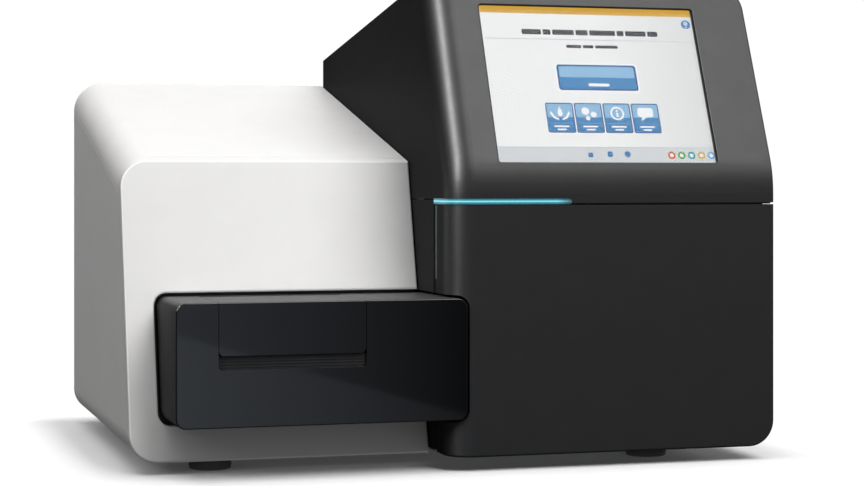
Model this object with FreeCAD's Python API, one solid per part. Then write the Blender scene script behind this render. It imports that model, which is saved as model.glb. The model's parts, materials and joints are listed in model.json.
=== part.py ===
import FreeCAD, Part
import math
import os

# Benchtop DNA sequencing instrument. Millimetres, +Z up, front faces -Y.
# Origin: centre of the overall footprint, on the bench.

V = FreeCAD.Vector
UP = V(0, 0, 1)
RIGHT = V(1, 0, 0)
BACK = V(0, 1, 0)

# ---------------------------------------------------------------- driving dimensions
WIDTH = 686.0
DEPTH = 565.0
HEIGHT = 523.0
X_LEFT = -WIDTH / 2
X_RIGHT = WIDTH / 2
Y_FRONT = -DEPTH / 2            # the pod's front glass
Y_REAR = DEPTH / 2
FOOT_HEIGHT = 14.0
FOOT_RADIUS = 22.0
SKIN = 3.0                      # thickness of the covers
SEAM = 1.0                      # gap between neighbouring covers
FIT = 0.2                       # clearance between parts that are fitted together
RUN = 0.05                      # radial clearance of a running fit
FAR = 1000.0                    # beyond everything, for the shapes that cut

# tower, on the right
TOWER_LEFT = -23.5
TOWER_BOTTOM = 15.0
Y_DOOR = Y_FRONT + 3.0          # the reagent door's front face
BEND_HEIGHT = 308.6             # where the screen bezel starts to lean back
BEND_RADIUS = 100.0
LEAN = math.radians(22.77)      # of the bezel
TOP_DROP = 0.1371               # fall of the tower's top towards the rear
FRONT_THICKNESS = 20.5          # depth of the door and the bezel
CORNER_FRONT = 28.0
CORNER_BOTTOM = 28.0
CORNER_TOP = 32.0
FRONT_EDGE = 2.5                # rounding round the front face
DOOR_TOP = 276.5
BEZEL_BOTTOM = 278.5
DOOR_RETURN_END = -230.0        # how far back the door wraps round the left side
PANEL_FRONT = -217.5            # front edge of the left side panel, behind the door's return
PANEL_TOP = 281.6               # top edge of the left side panel
FLANGE_INSET = 2.0              # how far its front flange lies behind the outer face
NOTCH_RADIUS = 13.0             # corners of the door's notch round the pod
NOTCH_RIGHT = -2.5
NOTCH_BOTTOM = 51.0
NOTCH_TOP = 183.3
EDGE = 1.2                      # rounding of the covers' outer edges

# wing, on the left
WING_RIGHT = -25.0
WING_BOTTOM = 12.0
WING_SIDE_BOTTOM = 14.5         # underside of the side panel's return
WING_SIDE_CORNER = 28.0         # rounding along the side panel's lower edge
WING_SIDE_RETURN = 30.0         # how far it reaches in below the wing
WING_FOOT_Y = -207.0            # front face at height WING_FOOT_Z
WING_FOOT_Z = 12.0
WING_ANGLE = math.radians(14.7)  # lean of the front plate
WING_TOP_Z = 322.6              # height of the front face's top edge
WING_RISE = 0.2483              # rise of the top cover towards the rear
WING_PLATE = 15.0
WING_PLATE_CORNER = 28.0
WING_COVER_CORNER = 35.0
WING_EDGE = 2.0                 # rounding of the front plate's edge
PLATE_GAP = 2.0

# pod of the flow cell compartment
POD_LEFT = -309.0
POD_RIGHT = -5.7
POD_BOTTOM = 54.7
POD_TOP = 180.3
POD_CORNER = 10.5
POD_SKIN = 4.0
POD_GAP = 3.7
POD_OPENING_CORNER = 14.0
POD_BACK = -118.0
POD_GLASS = 5.0
FLAP_LEFT = -265.7
FLAP_RIGHT = -114.3
FLAP_BOTTOM = 127.0
GRIP_BOTTOM = 113.0
FLAP_BACK = -177.0
FLAP_SKIN = 6.0
FLAP_GAP = 0.6
FLAP_AXIS_Y = -180.0
FLAP_AXIS_Z = 170.0
FLAP_PIN_RADIUS = 2.5

# screen
SCREEN_LEFT = 31.0
SCREEN_RIGHT = 280.4
SCREEN_LOW = 321.7
SCREEN_HIGH = 492.0
SCREEN_CORNER = 4.0
GLASS_BORDER = 6.0
GLASS_BORDER_LOW = 3.0          # less, as the bezel starts to curve here
GLASS_INSET = SKIN + 0.8
GLASS_THICKNESS = 2.5
DISPLAY_INSET = SKIN + 4.1
DISPLAY_THICKNESS = 8.0
LIGHT_BAR_END = 110.0
LIGHT_BAR_BACK = -218.5
LIGHT_BAR_LOW = 277.2
LIGHT_BAR_HIGH = 283.2
LIGHT_BAR_DEPTH = 6.0

# reagent bay behind the door
BAY_LEFT = -10.0
BAY_RIGHT = 320.0
BAY_FRONT = -254.0
BAY_BACK = -125.0
BAY_BOTTOM = 24.0
BAY_TOP = 270.0
BAY_WALL = 3.0
CHILLER_LEFT = 28.0
CHILLER_RIGHT = 124.0
CHILLER_LOW = 44.0
CHILLER_HIGH = 118.0
CHILLER_WALL = 14.0
CHILLER_END = 46.0
DOOR_AXIS_X = 18.0
DOOR_AXIS_Y = -139.0
BOTTLE_X = (188.0, 274.0)
BOTTLE_Y = -188.0
BOTTLE_RADIUS = 39.0
BOTTLE_HEIGHT = 130.0
BOTTLE_FLOOR = 30.0
BOTTLE_SHOULDER = 96.0
BOTTLE_NECK = 17.0
BOTTLE_WALL = 2.5
HANDLE_AXIS_Y = -136.0
HANDLE_AXIS_Z = 235.0
HANDLE_ARM = 100.0
HANDLE_DROP = 25.0              # degrees below level when the sippers are down
SHELF_Z = 284.0
SHEET = 2.0                     # thickness of the inner sheet parts

# flow cell stage
STAGE_X = -190.0
RAIL_OFFSET = 60.0
PLATE_LOW = 62.0
PLATE_HIGH = 74.0
RAIL_TOP = 82.0
STAGE_FRONT = -256.0
STAGE_LENGTH = 84.0
SCREW_Z = 79.0
FLOW_CELL_Y = -222.0
IMAGING_Y = -52.0

LATCH_Y = FLOW_CELL_Y + 34.0
LATCH_Z = 110.5
BUTTON_X = STAGE_X + 66.0
BUTTON_Y = FLOW_CELL_Y - 2.0
LEAD_SCREW_RADIUS = 4.0
THERMAL_HEIGHT = 14.0

# optics housing over the imaging position
OPTICS_LEFT = -292.0
OPTICS_RIGHT = -88.0
OPTICS_FRONT = -90.0
OPTICS_BACK = 180.0
OPTICS_LEG = 16.0
BRIDGE_LOW = 215.0
BRIDGE_HIGH = 240.0
CAMERA_LOW = 300.0
CAMERA_HIGH = 345.0
LENS_RADIUS = 20.0
LENS_TIP_RADIUS = 9.0
LENS_LOW = 135.0                # lower end of the objective's tip

# sipper manifold, syringe pump, switch and fan
GUIDES = ((126.0, -80.0), (126.0, 10.0))
SCREW_X = 126.0
SCREW_Y = -35.0
GUIDE_RADIUS = 5.0
MANIFOLD_LOW = 190.0
MANIFOLD_THICKNESS = 12.0
NEEDLE_RADIUS = 1.2
NEEDLE_REACH = 48.0
PUMP_Y = -108.0
SYRINGE_X = (205.0, 255.0)
SYRINGE_BORE = 8.0
SWITCH_Y = Y_REAR - 10.5
SWITCH_Z = 84.0
SWITCH_TILT = 8.0               # degrees
FAN_X = -185.0
FAN_Z = 250.0
FAN_HALF = 62.0                 # half the width of its frame
FAN_DEPTH = 25.0
FAN_BORE = 57.0
FAN_HUB = 20.0
FAN_AXLE = 3.0
FAN_BLADES = 7
FEET = ((-254.0, -168.8), (225.0, -202.5), (-254.0, 225.0), (225.0, 225.0))

# openings in the tower's rear panel: x0, x1, z0, z1
INLET_OPENING = (240.0, 268.0, 60.0, 108.0)
SWITCH_OPENING = (202.0, 223.0, 70.0, 98.0)
PORTS_OPENING = (40.0, 112.0, 330.0, 348.0)

# vents: how many, where the first one is, and their pitch
SIDE_VENTS = 9
SIDE_VENT_Y = 110.0
SIDE_VENT_LOW = 90.0
SIDE_VENT_HIGH = 190.0
SLOT_WIDTH = 6.0
REAR_VENT_ROWS = 6
REAR_VENT_COLUMNS = 8
REAR_VENT_X = 60.0
REAR_VENT_Z = 130.0
REAR_VENT_PITCH = 15.0
REAR_VENT_RADIUS = 4.5
SIDE_VENT_PITCH = 16.0

# reagent door hinge
HINGE_X = 339.5
HINGE_Y = -255.8
HINGE_HEIGHTS = (70.0, 230.0)
HINGE_BARREL = 2.9
HINGE_PIN = 1.5
HINGE_KNUCKLE = 10.0            # half the height of the middle knuckle


# ---------------------------------------------------------------- small tools
def box(x0, x1, y0, y1, z0, z1):
    return Part.makeBox(x1 - x0, y1 - y0, z1 - z0, V(x0, y0, z0))


def rod(radius, start, direction, length):
    return Part.makeCylinder(radius, length, start, direction)


def tube(radius, hole, start, direction, length):
    return rod(radius, start, direction, length).cut(rod(hole, start, direction, length))


def fuse(shapes):
    whole = shapes[0]
    for shape in shapes[1:]:
        whole = whole.fuse(shape)
    return whole.removeSplitter()


def group(shapes):
    return Part.makeCompound(shapes)


def side_prism(points, x0, x1):
    """A prism along X over (y, z) points."""
    wire = Part.makePolygon([V(x0, y, z) for y, z in points + points[:1]])
    return Part.Face(wire).extrude(V(x1 - x0, 0, 0))


def rounded_wire(place, a0, a1, b0, b1, radii):
    """A rectangle with corner radii (low-low, high-low, high-high, low-high); place maps (a, b)."""
    corners = [(a0, b0, 1, 1), (a1, b0, -1, 1), (a1, b1, -1, -1), (a0, b1, 1, -1)]
    points = []
    for (a, b, sa, sb), r in zip(corners, radii):
        bend = r * (1 - math.sqrt(0.5))
        along = (a, b + sb * r)
        across = (a + sa * r, b)
        middle = (a + sa * bend, b + sb * bend)
        if sa * sb > 0:
            points.append((along, middle, across, r))
        else:
            points.append((across, middle, along, r))
    edges = []
    for i, (start, middle, end, r) in enumerate(points):
        if r > 0:
            edges.append(Part.Arc(place(*start), place(*middle), place(*end)).toShape())
        following = points[(i + 1) % 4][0]
        if (place(*end) - place(*following)).Length > 1e-6:
            edges.append(Part.LineSegment(place(*end), place(*following)).toShape())
    return Part.Wire(edges)


def front_prism(x0, x1, z0, z1, radii, y0, travel):
    """A prism over a rounded rectangle in XZ at y0, moved along the vector travel."""
    wire = rounded_wire(lambda a, b: V(a, y0, b), x0, x1, z0, z1, radii)
    return Part.Face(wire).extrude(travel)


def plan_prism(x0, x1, y0, y1, radii, z0, z1):
    wire = rounded_wire(lambda a, b: V(a, b, z0), x0, x1, y0, y1, radii)
    return Part.Face(wire).extrude(V(0, 0, z1 - z0))


def fillet_where(shape, radius, wanted):
    edges = [e for e in shape.Edges if wanted(e)]
    return shape.makeFillet(radius, edges)


def lies_on(edge, **places):
    """True if the whole edge has each given coordinate."""
    box_of_edge = edge.BoundBox
    for name, value in places.items():
        low = getattr(box_of_edge, name.upper() + "Min")
        high = getattr(box_of_edge, name.upper() + "Max")
        if abs(low - value) > 0.01 or abs(high - value) > 0.01:
            return False
    return True


NODES = {}
HINGE_PINS = []
MOTORS = []


def node(name, shape):
    NODES[name] = shape


# ---------------------------------------------------------------- tower profile


def bezel_point(height, inset):
    """(y, z) on the leaning front, inset behind it, at the height measured on the face."""
    y = Y_DOOR + (height - BEND_HEIGHT) * math.tan(LEAN)
    return y + inset * math.cos(LEAN), height - inset * math.sin(LEAN)


def tower_top(y, inset):
    """Height of the tower's top, inset below it."""
    front_y = Y_DOOR + (HEIGHT - BEND_HEIGHT) * math.tan(LEAN)
    slope = math.atan(TOP_DROP)
    return HEIGHT - (y - front_y) * TOP_DROP - inset / math.cos(slope)


def tower_prism(front, top, rear, bottom, x0, x1):
    """The tower's side profile as a prism along X, each face moved in by its inset."""
    y_face = Y_DOOR + front
    # where the inset leaning line meets the inset vertical line
    meet = BEND_HEIGHT - front * math.tan(LEAN / 2)
    radius = BEND_RADIUS - front
    length = radius * math.tan(LEAN / 2)
    bend_low = meet - length
    arc_end = (y_face + length * math.sin(LEAN), meet + length * math.cos(LEAN))
    half = LEAN / 2
    arc_mid = (
        y_face + radius * (1 - math.cos(half)),
        bend_low + radius * math.sin(half),
    )
    # the inset leaning line meets the inset top line
    slope_run = math.tan(LEAN)
    top_at_zero = tower_top(0, top)
    # y = y_face + (z - meet) * slope_run and z = top_at_zero - TOP_DROP * y
    z_top = (top_at_zero - TOP_DROP * (y_face - meet * slope_run)) / (1 + TOP_DROP * slope_run)
    y_top = y_face + (z_top - meet) * slope_run
    y_rear = Y_REAR - rear
    corners = [
        (y_top, z_top),
        (y_rear, tower_top(y_rear, top)),
        (y_rear, TOWER_BOTTOM + bottom),
        (y_face, TOWER_BOTTOM + bottom),
        (y_face, bend_low),
    ]
    at = lambda p: V(x0, p[0], p[1])
    edges = [Part.Arc(at((y_face, bend_low)), at(arc_mid), at(arc_end)).toShape()]
    edges.append(Part.LineSegment(at(arc_end), at(corners[0])).toShape())
    for start, end in zip(corners[:-1], corners[1:]):
        edges.append(Part.LineSegment(at(start), at(end)).toShape())
    return Part.Face(Part.Wire(edges)).extrude(V(x1 - x0, 0, 0))


def tower_solid(inset):
    """The tower's outer form with all faces and corners moved in by inset."""
    x0 = TOWER_LEFT + inset
    x1 = X_RIGHT - inset
    bottom = TOWER_BOTTOM + inset
    solid = tower_prism(inset, inset, inset, inset, x0, x1)

    def top_front(e):
        b = e.BoundBox
        return b.XLength > 200 and b.ZMin > 500 and b.YMax < 0

    def front_left(e):
        b = e.BoundBox
        return lies_on(e, x=x0) and b.YMax < -150 and b.ZLength > 5

    def top_right(e):
        b = e.BoundBox
        return lies_on(e, x=x1) and b.ZMin > 400 and b.YLength > 200

    solid = fillet_where(solid, CORNER_FRONT - inset, front_left)
    solid = fillet_where(solid, CORNER_TOP - inset, top_right)
    solid = fillet_where(solid, CORNER_BOTTOM - inset, lambda e: lies_on(e, x=x1, z=bottom))
    if inset < FRONT_EDGE:
        # runs on round the whole front face
        solid = fillet_where(solid, FRONT_EDGE - inset, top_front)
    return solid


def behind_front(inset):
    """Everything more than inset behind the tower's front."""
    margin = 40
    return tower_prism(inset, -margin, -margin, -margin, TOWER_LEFT - margin, X_RIGHT + margin)


# ---------------------------------------------------------------- tower covers
def make_tower():
    outer = tower_solid(0)
    shell = outer.cut(tower_solid(SKIN))
    y_end = Y_REAR - SKIN - FIT
    body = box(-FAR, FAR, -FAR, y_end, 0, FAR)
    wall = TOWER_LEFT + SKIN

    # screen bezel with the left wall above the door
    above = box(-FAR, FAR, -FAR, y_end, BEZEL_BOTTOM, FAR)
    face = shell.cut(behind_front(FRONT_THICKNESS)).common(above)
    left_wall = shell.common(box(-FAR, wall, -FAR, y_end, BEZEL_BOTTOM, FAR))
    low_wall = box(-FAR, wall + 1, LIGHT_BAR_BACK, FAR, 0, PANEL_TOP + SEAM)
    lip = outer.common(box(-FAR, FAR, -FAR, 0, BEZEL_BOTTOM, BEZEL_BOTTOM + SKIN))
    lip = lip.cut(behind_front(FRONT_THICKNESS))
    bezel = fuse([face, left_wall.cut(low_wall), lip]).cut(low_wall)
    # a rib that hangs into the seam above the door, so that no light passes through it
    ring = tower_solid(SKIN).cut(tower_solid(SKIN + SHEET))
    rib = ring.common(box(0, FAR, -FAR, Y_DOOR + FRONT_THICKNESS, DOOR_TOP + 3 * FIT,
                          BEZEL_BOTTOM + SEAM))
    bezel = bezel.fuse(rib).removeSplitter()
    bezel = bezel.cut(screen_opening())
    bezel = fillet_where(bezel, EDGE, on_screen_rim)
    bezel = bezel.cut(light_bar_path(0.3))
    node("screen_bezel", bezel)

    # top cover and right side panel
    y0 = Y_DOOR + (BEZEL_BOTTOM - BEND_HEIGHT) * math.tan(LEAN)
    drop = CORNER_TOP + 0.3
    upper = [
        (y0, tower_top(y0, drop)),
        (Y_REAR, tower_top(Y_REAR, drop)),
        (Y_REAR, FAR),
        (y0, FAR),
    ]
    upper_zone = side_prism(upper, wall + 0.3, FAR)
    behind = behind_front(FRONT_THICKNESS + SEAM).common(body)
    cover = shell.common(upper_zone).common(behind)
    node("tower_top_cover", cover)
    lower = [
        (y0, tower_top(y0, drop + SEAM)),
        (Y_REAR, tower_top(Y_REAR, drop + SEAM)),
        (Y_REAR, 0),
        (y0, 0),
    ]
    lower_zone = side_prism(lower, X_RIGHT - CORNER_BOTTOM, FAR)
    side = shell.common(lower_zone).common(behind)
    side = side.cut(box(0, FAR, -FAR, HINGE_Y + 5.0, 0, DOOR_TOP + SEAM))
    for i in range(SIDE_VENTS):
        y = SIDE_VENT_Y + SIDE_VENT_PITCH * i
        side = side.cut(side_slot(X_RIGHT - 10, X_RIGHT + 10, y, SIDE_VENT_LOW, SIDE_VENT_HIGH))
    node("tower_right_panel", side)

    # rear panel with its openings
    rear = outer.common(box(-FAR, FAR, Y_REAR - SKIN, FAR, 0, FAR))
    for x0, x1, z0, z1 in (INLET_OPENING, SWITCH_OPENING, PORTS_OPENING):
        rear = rear.cut(box(x0, x1, 0, FAR, z0, z1))
    for row in range(REAR_VENT_ROWS):
        for column in range(REAR_VENT_COLUMNS):
            x = REAR_VENT_X + REAR_VENT_PITCH * column
            z = REAR_VENT_Z + REAR_VENT_PITCH * row
            rear = rear.cut(rod(REAR_VENT_RADIUS, V(x, Y_REAR - 10, z), BACK, 20))
    node("tower_rear_panel", rear)

    # left side panel below the bezel, with the pocket that takes the pod's end
    low = FOOT_HEIGHT + SKIN + FIT
    lower_wall = shell.common(box(-FAR, wall, PANEL_FRONT, y_end, low, PANEL_TOP))
    flange_x = TOWER_LEFT + FLANGE_INSET
    flange_y = DOOR_RETURN_END + SEAM
    flange = box(flange_x, wall + 1, flange_y, PANEL_FRONT + 5, low, DOOR_TOP)
    pocket = box(flange_x, 0, flange_y, POD_BACK + 6 + SHEET, NOTCH_BOTTOM - SHEET,
                 NOTCH_TOP + SHEET)
    hollow = box(-FAR, -SHEET, -FAR, POD_BACK + 6, NOTCH_BOTTOM, NOTCH_TOP)
    node("tower_left_panel", fuse([lower_wall, flange, pocket]).cut(hollow))

    make_door(outer)


def side_slot(x0, x1, y, z0, z1):
    """An upright slot through a wall between x0 and x1."""
    half = SLOT_WIDTH / 2
    wire = rounded_wire(lambda a, b: V(x0, a, b), y - half, y + half, z0, z1, [half - 0.1] * 4)
    return Part.Face(wire).extrude(V(x1 - x0, 0, 0))


def make_door(outer):
    """The reagent door: an outer shell that wraps the left corner, and its inner liner."""
    y_back = Y_DOOR + FRONT_THICKNESS
    wall = TOWER_LEFT + SKIN
    slab = outer.common(box(-FAR, FAR, -FAR, y_back, TOWER_BOTTOM, DOOR_TOP))
    inner = tower_solid(SKIN)
    room = inner.common(box(-FAR, FAR, -FAR, FAR, TOWER_BOTTOM + SKIN, DOOR_TOP - SKIN))
    shell = slab.cut(room)
    wrap = outer.common(box(-FAR, wall, -FAR, DOOR_RETURN_END, TOWER_BOTTOM, DOOR_TOP))
    notch_walls = outer.common(box(-FAR, NOTCH_RIGHT + SKIN, -FAR, y_back, NOTCH_BOTTOM - SKIN,
                                   NOTCH_TOP + SKIN))
    door = fuse([shell, wrap, notch_walls])
    notch = front_prism(-FAR, NOTCH_RIGHT, NOTCH_BOTTOM, NOTCH_TOP,
                        [0, NOTCH_RADIUS, NOTCH_RADIUS, 0], -FAR, V(0, FAR, 0))
    node("reagent_door", door.cut(notch))
    liner = front_prism(
        wall + 4, X_RIGHT - SKIN - 0.3, TOWER_BOTTOM + SKIN + 0.3, DOOR_TOP - SKIN - 0.3,
        [0, CORNER_BOTTOM - SKIN, 0, 0], y_back - SKIN, V(0, SKIN, 0),
    )
    clear = SKIN + 0.3
    liner = liner.cut(box(-FAR, NOTCH_RIGHT + clear, -FAR, FAR, NOTCH_BOTTOM - clear,
                          NOTCH_TOP + clear))
    ribs = [
        box(40, 300, y_back - 9, y_back - SKIN, z, z + 3) for z in (70, 150, 230)
    ]
    node("door_liner", fuse([liner] + ribs))


def bezel_slab(x0, x1, low, high, front, back, corner):
    """A slab parallel to the bezel between two heights of its face and two insets."""
    def place(a, b):
        y, z = bezel_point(low + b * math.cos(LEAN), front)
        return V(a, y, z)

    wire = rounded_wire(place, x0, x1, 0, (high - low) / math.cos(LEAN), [corner] * 4)
    depth = back - front
    travel = V(0, depth * math.cos(LEAN), -depth * math.sin(LEAN))
    return Part.Face(wire).extrude(travel)


def on_screen_rim(edge):
    """True for the edges of the screen opening on the bezel's face."""
    b = edge.BoundBox
    inside = b.XMin > SCREEN_LEFT - 1 and b.XMax < SCREEN_RIGHT + 1
    on_face = all(
        abs(v.Point.y - bezel_point(v.Point.z, 0)[0]) < 0.01 for v in edge.Vertexes
    )
    return inside and on_face and b.ZMin > SCREEN_LOW - 1 and b.ZMax < SCREEN_HIGH + 1


def screen_opening():
    return bezel_slab(
        SCREEN_LEFT, SCREEN_RIGHT, SCREEN_LOW, SCREEN_HIGH, -5, SKIN + 5, SCREEN_CORNER
    )


def light_bar_path(clear):
    """The strip round the left front corner that the light guide fills."""
    z0 = LIGHT_BAR_LOW - clear
    z1 = LIGHT_BAR_HIGH + clear
    deep = LIGHT_BAR_DEPTH + clear
    radii = [CORNER_FRONT, 0, 0, 0]
    end = LIGHT_BAR_END + clear
    outer = plan_prism(TOWER_LEFT, end, Y_DOOR, LIGHT_BAR_BACK + clear, radii, z0, z1)
    radii = [CORNER_FRONT - deep, 0, 0, 0]
    inner = plan_prism(TOWER_LEFT + deep, FAR, Y_DOOR + deep, FAR, radii, z0, z1)
    round_end = (z1 - z0) / 2 - 0.05
    ended = front_prism(-FAR, end, z0, z1, [0, round_end, round_end, 0], -FAR, V(0, FAR, 0))
    return outer.cut(inner).common(ended)


def make_screen():
    margin = GLASS_BORDER
    low = SCREEN_LOW - GLASS_BORDER_LOW
    glass = bezel_slab(
        SCREEN_LEFT - margin, SCREEN_RIGHT + margin, low,
        SCREEN_HIGH + margin, GLASS_INSET, GLASS_INSET + GLASS_THICKNESS, 3,
    )
    node("touch_glass", glass)
    module = bezel_slab(
        SCREEN_LEFT - margin, SCREEN_RIGHT + margin, low,
        SCREEN_HIGH + margin, DISPLAY_INSET, DISPLAY_INSET + DISPLAY_THICKNESS, 2,
    )
    node("lcd_module", module)
    node("status_light_bar", light_bar_path(0))


# ---------------------------------------------------------------- wing covers
def wing_front(z, inset):
    """y of the wing's front face at height z, inset behind it along its normal."""
    return WING_FOOT_Y + (z - WING_FOOT_Z) * math.tan(WING_ANGLE) + inset / math.cos(WING_ANGLE)


def wing_top(y):
    edge_y = wing_front(WING_TOP_Z, 0)
    return WING_TOP_Z + (y - edge_y) * WING_RISE


def meet_front_and_top(inset, drop):
    """(y, z) where the inset front line meets the top line lowered by drop."""
    run = math.tan(WING_ANGLE)
    base = wing_front(0, inset)
    y = (base + run * (wing_top(0) - drop)) / (1 - run * WING_RISE)
    return y, wing_top(y) - drop


def wing_outline(corner, left_inset, top_drop):
    """A prism along the top cover's slope with a rounded upper left corner."""
    z_high = wing_top(Y_FRONT) - top_drop
    travel = V(0, FAR, FAR * WING_RISE)
    return front_prism(X_LEFT + left_inset, WING_RIGHT, -FAR, z_high, [0, 0, 0, corner], Y_FRONT,
                       travel)


def make_wing():
    # front plate
    low = WING_BOTTOM
    plate_points = [
        (wing_front(low, 0), low),
        meet_front_and_top(0, 0),
        meet_front_and_top(WING_PLATE, 0),
        (wing_front(low, WING_PLATE), low),
    ]
    plate = side_prism(plate_points, X_LEFT, WING_RIGHT)
    plate = plate.common(wing_outline(WING_PLATE_CORNER, 0, 0))
    foot_round = front_prism(
        X_LEFT, FAR, low, FAR, [WING_PLATE_CORNER, 0, 0, 0], -FAR, V(0, FAR, 0)
    )
    plate = plate.common(foot_round)
    opening = front_prism(
        POD_LEFT - POD_GAP, 0, POD_BOTTOM - POD_GAP - 3, POD_TOP + POD_GAP,
        [POD_OPENING_CORNER, 0, 0, POD_OPENING_CORNER], -FAR, V(0, FAR, 0),
    )
    plate = plate.cut(opening)
    rear_pad = WING_PLATE - 5
    front_face = lambda e: all(
        abs(v.Point.y - wing_front(v.Point.z, 0)) < 0.01 for v in e.Vertexes
    )
    plate = fillet_where(plate, WING_EDGE, front_face)
    pocket_points = [
        (wing_front(low + 25, 5), low + 25),
        (wing_front(WING_TOP_Z - 25, 5), WING_TOP_Z - 25),
        (wing_front(WING_TOP_Z - 25, WING_PLATE + 5), WING_TOP_Z - 25),
        (wing_front(low + 25, WING_PLATE + 5), low + 25),
    ]
    hollow = side_prism(pocket_points, X_LEFT + 32, WING_RIGHT - 12)
    frame_round = front_prism(
        POD_LEFT - POD_GAP - rear_pad, 50, POD_BOTTOM - POD_GAP - 3 - rear_pad,
        POD_TOP + POD_GAP + rear_pad, [POD_OPENING_CORNER] * 4, -FAR, V(0, FAR, 0),
    )
    node("left_front_panel", plate.cut(hollow.cut(frame_round)))

    # top cover with its rounded left edge
    y_end = Y_REAR - SKIN - FIT
    gap = WING_PLATE + PLATE_GAP
    drop = WING_COVER_CORNER
    zone = side_prism(
        [
            meet_front_and_top(gap, -50),
            meet_front_and_top(gap, drop),
            (y_end, wing_top(y_end) - drop),
            (y_end, wing_top(y_end) + 50),
        ],
        X_LEFT - 10, WING_RIGHT + 10,
    )
    cover = wing_outline(WING_COVER_CORNER, 0, 0)
    cover = cover.cut(wing_outline(WING_COVER_CORNER - SKIN, SKIN, SKIN))
    node("left_top_cover", cover.common(zone))

    # side panel, rounded in under the wing
    seam = drop + SEAM
    outline = side_prism(
        [
            (wing_front(low, gap), low),
            meet_front_and_top(gap, seam),
            (y_end, wing_top(y_end) - seam),
            (y_end, low),
        ],
        X_LEFT, X_LEFT + WING_SIDE_RETURN,
    )
    corner = [WING_SIDE_CORNER, 0, 0, 0]
    outer = front_prism(X_LEFT, 0, WING_SIDE_BOTTOM, FAR, corner, -FAR, V(0, 2 * FAR, 0))
    inside = [WING_SIDE_CORNER - SKIN, 0, 0, 0]
    inner = front_prism(X_LEFT + SKIN, 0, WING_SIDE_BOTTOM + SKIN, FAR, inside, -FAR,
                        V(0, 2 * FAR, 0))
    node("left_side_panel", outline.common(outer.cut(inner)))

    # rear panel with the cooling fan's opening
    z_rear = wing_top(Y_REAR)
    rear = front_prism(
        X_LEFT, WING_RIGHT, WING_SIDE_BOTTOM, z_rear,
        [WING_SIDE_CORNER, 0, 0, WING_COVER_CORNER], Y_REAR - SKIN, V(0, SKIN, 0),
    )
    for ring in range(4):
        for slot in range(6):
            rear = rear.cut(fan_slot(12 + 13 * ring, slot))
    node("left_rear_panel", rear)


def fan_slot(radius, slot):
    """One curved slot of the fan grille in the wing's rear panel."""
    start = 60 * slot + 4
    y = Y_REAR - 10
    ring = tube(radius + 9, radius, V(FAN_X, y, FAN_Z), BACK, 20)
    a0 = math.radians(start)
    a1 = math.radians(start + 52)
    wedge = Part.makePolygon([
        V(FAN_X, y, FAN_Z),
        V(FAN_X + FAR * math.cos(a0), y, FAN_Z + FAR * math.sin(a0)),
        V(FAN_X + FAR * math.cos(a1), y, FAN_Z + FAR * math.sin(a1)),
        V(FAN_X, y, FAN_Z),
    ])
    return ring.common(Part.Face(wedge).extrude(V(0, 20, 0)))


# ---------------------------------------------------------------- pod
def pod_flange():
    """The dark flange of the pod that closes the gap behind the wing's front plate."""
    front, back = WING_PLATE + FIT, WING_PLATE + 1.6
    z0, z1 = POD_BOTTOM - 14, POD_TOP + 12
    slab = side_prism(
        [
            (wing_front(z0, front), z0), (wing_front(z1, front), z1),
            (wing_front(z1, back), z1), (wing_front(z0, back), z0),
        ],
        POD_LEFT - 12, WING_RIGHT - 1,
    )
    wide = POD_SKIN - 1
    inside = front_prism(
        POD_LEFT + wide, POD_RIGHT, POD_BOTTOM + wide, POD_TOP - wide,
        [POD_CORNER - wide, 0, 0, POD_CORNER - wide], -FAR, V(0, FAR, 0),
    )
    return slab.cut(inside)


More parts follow.
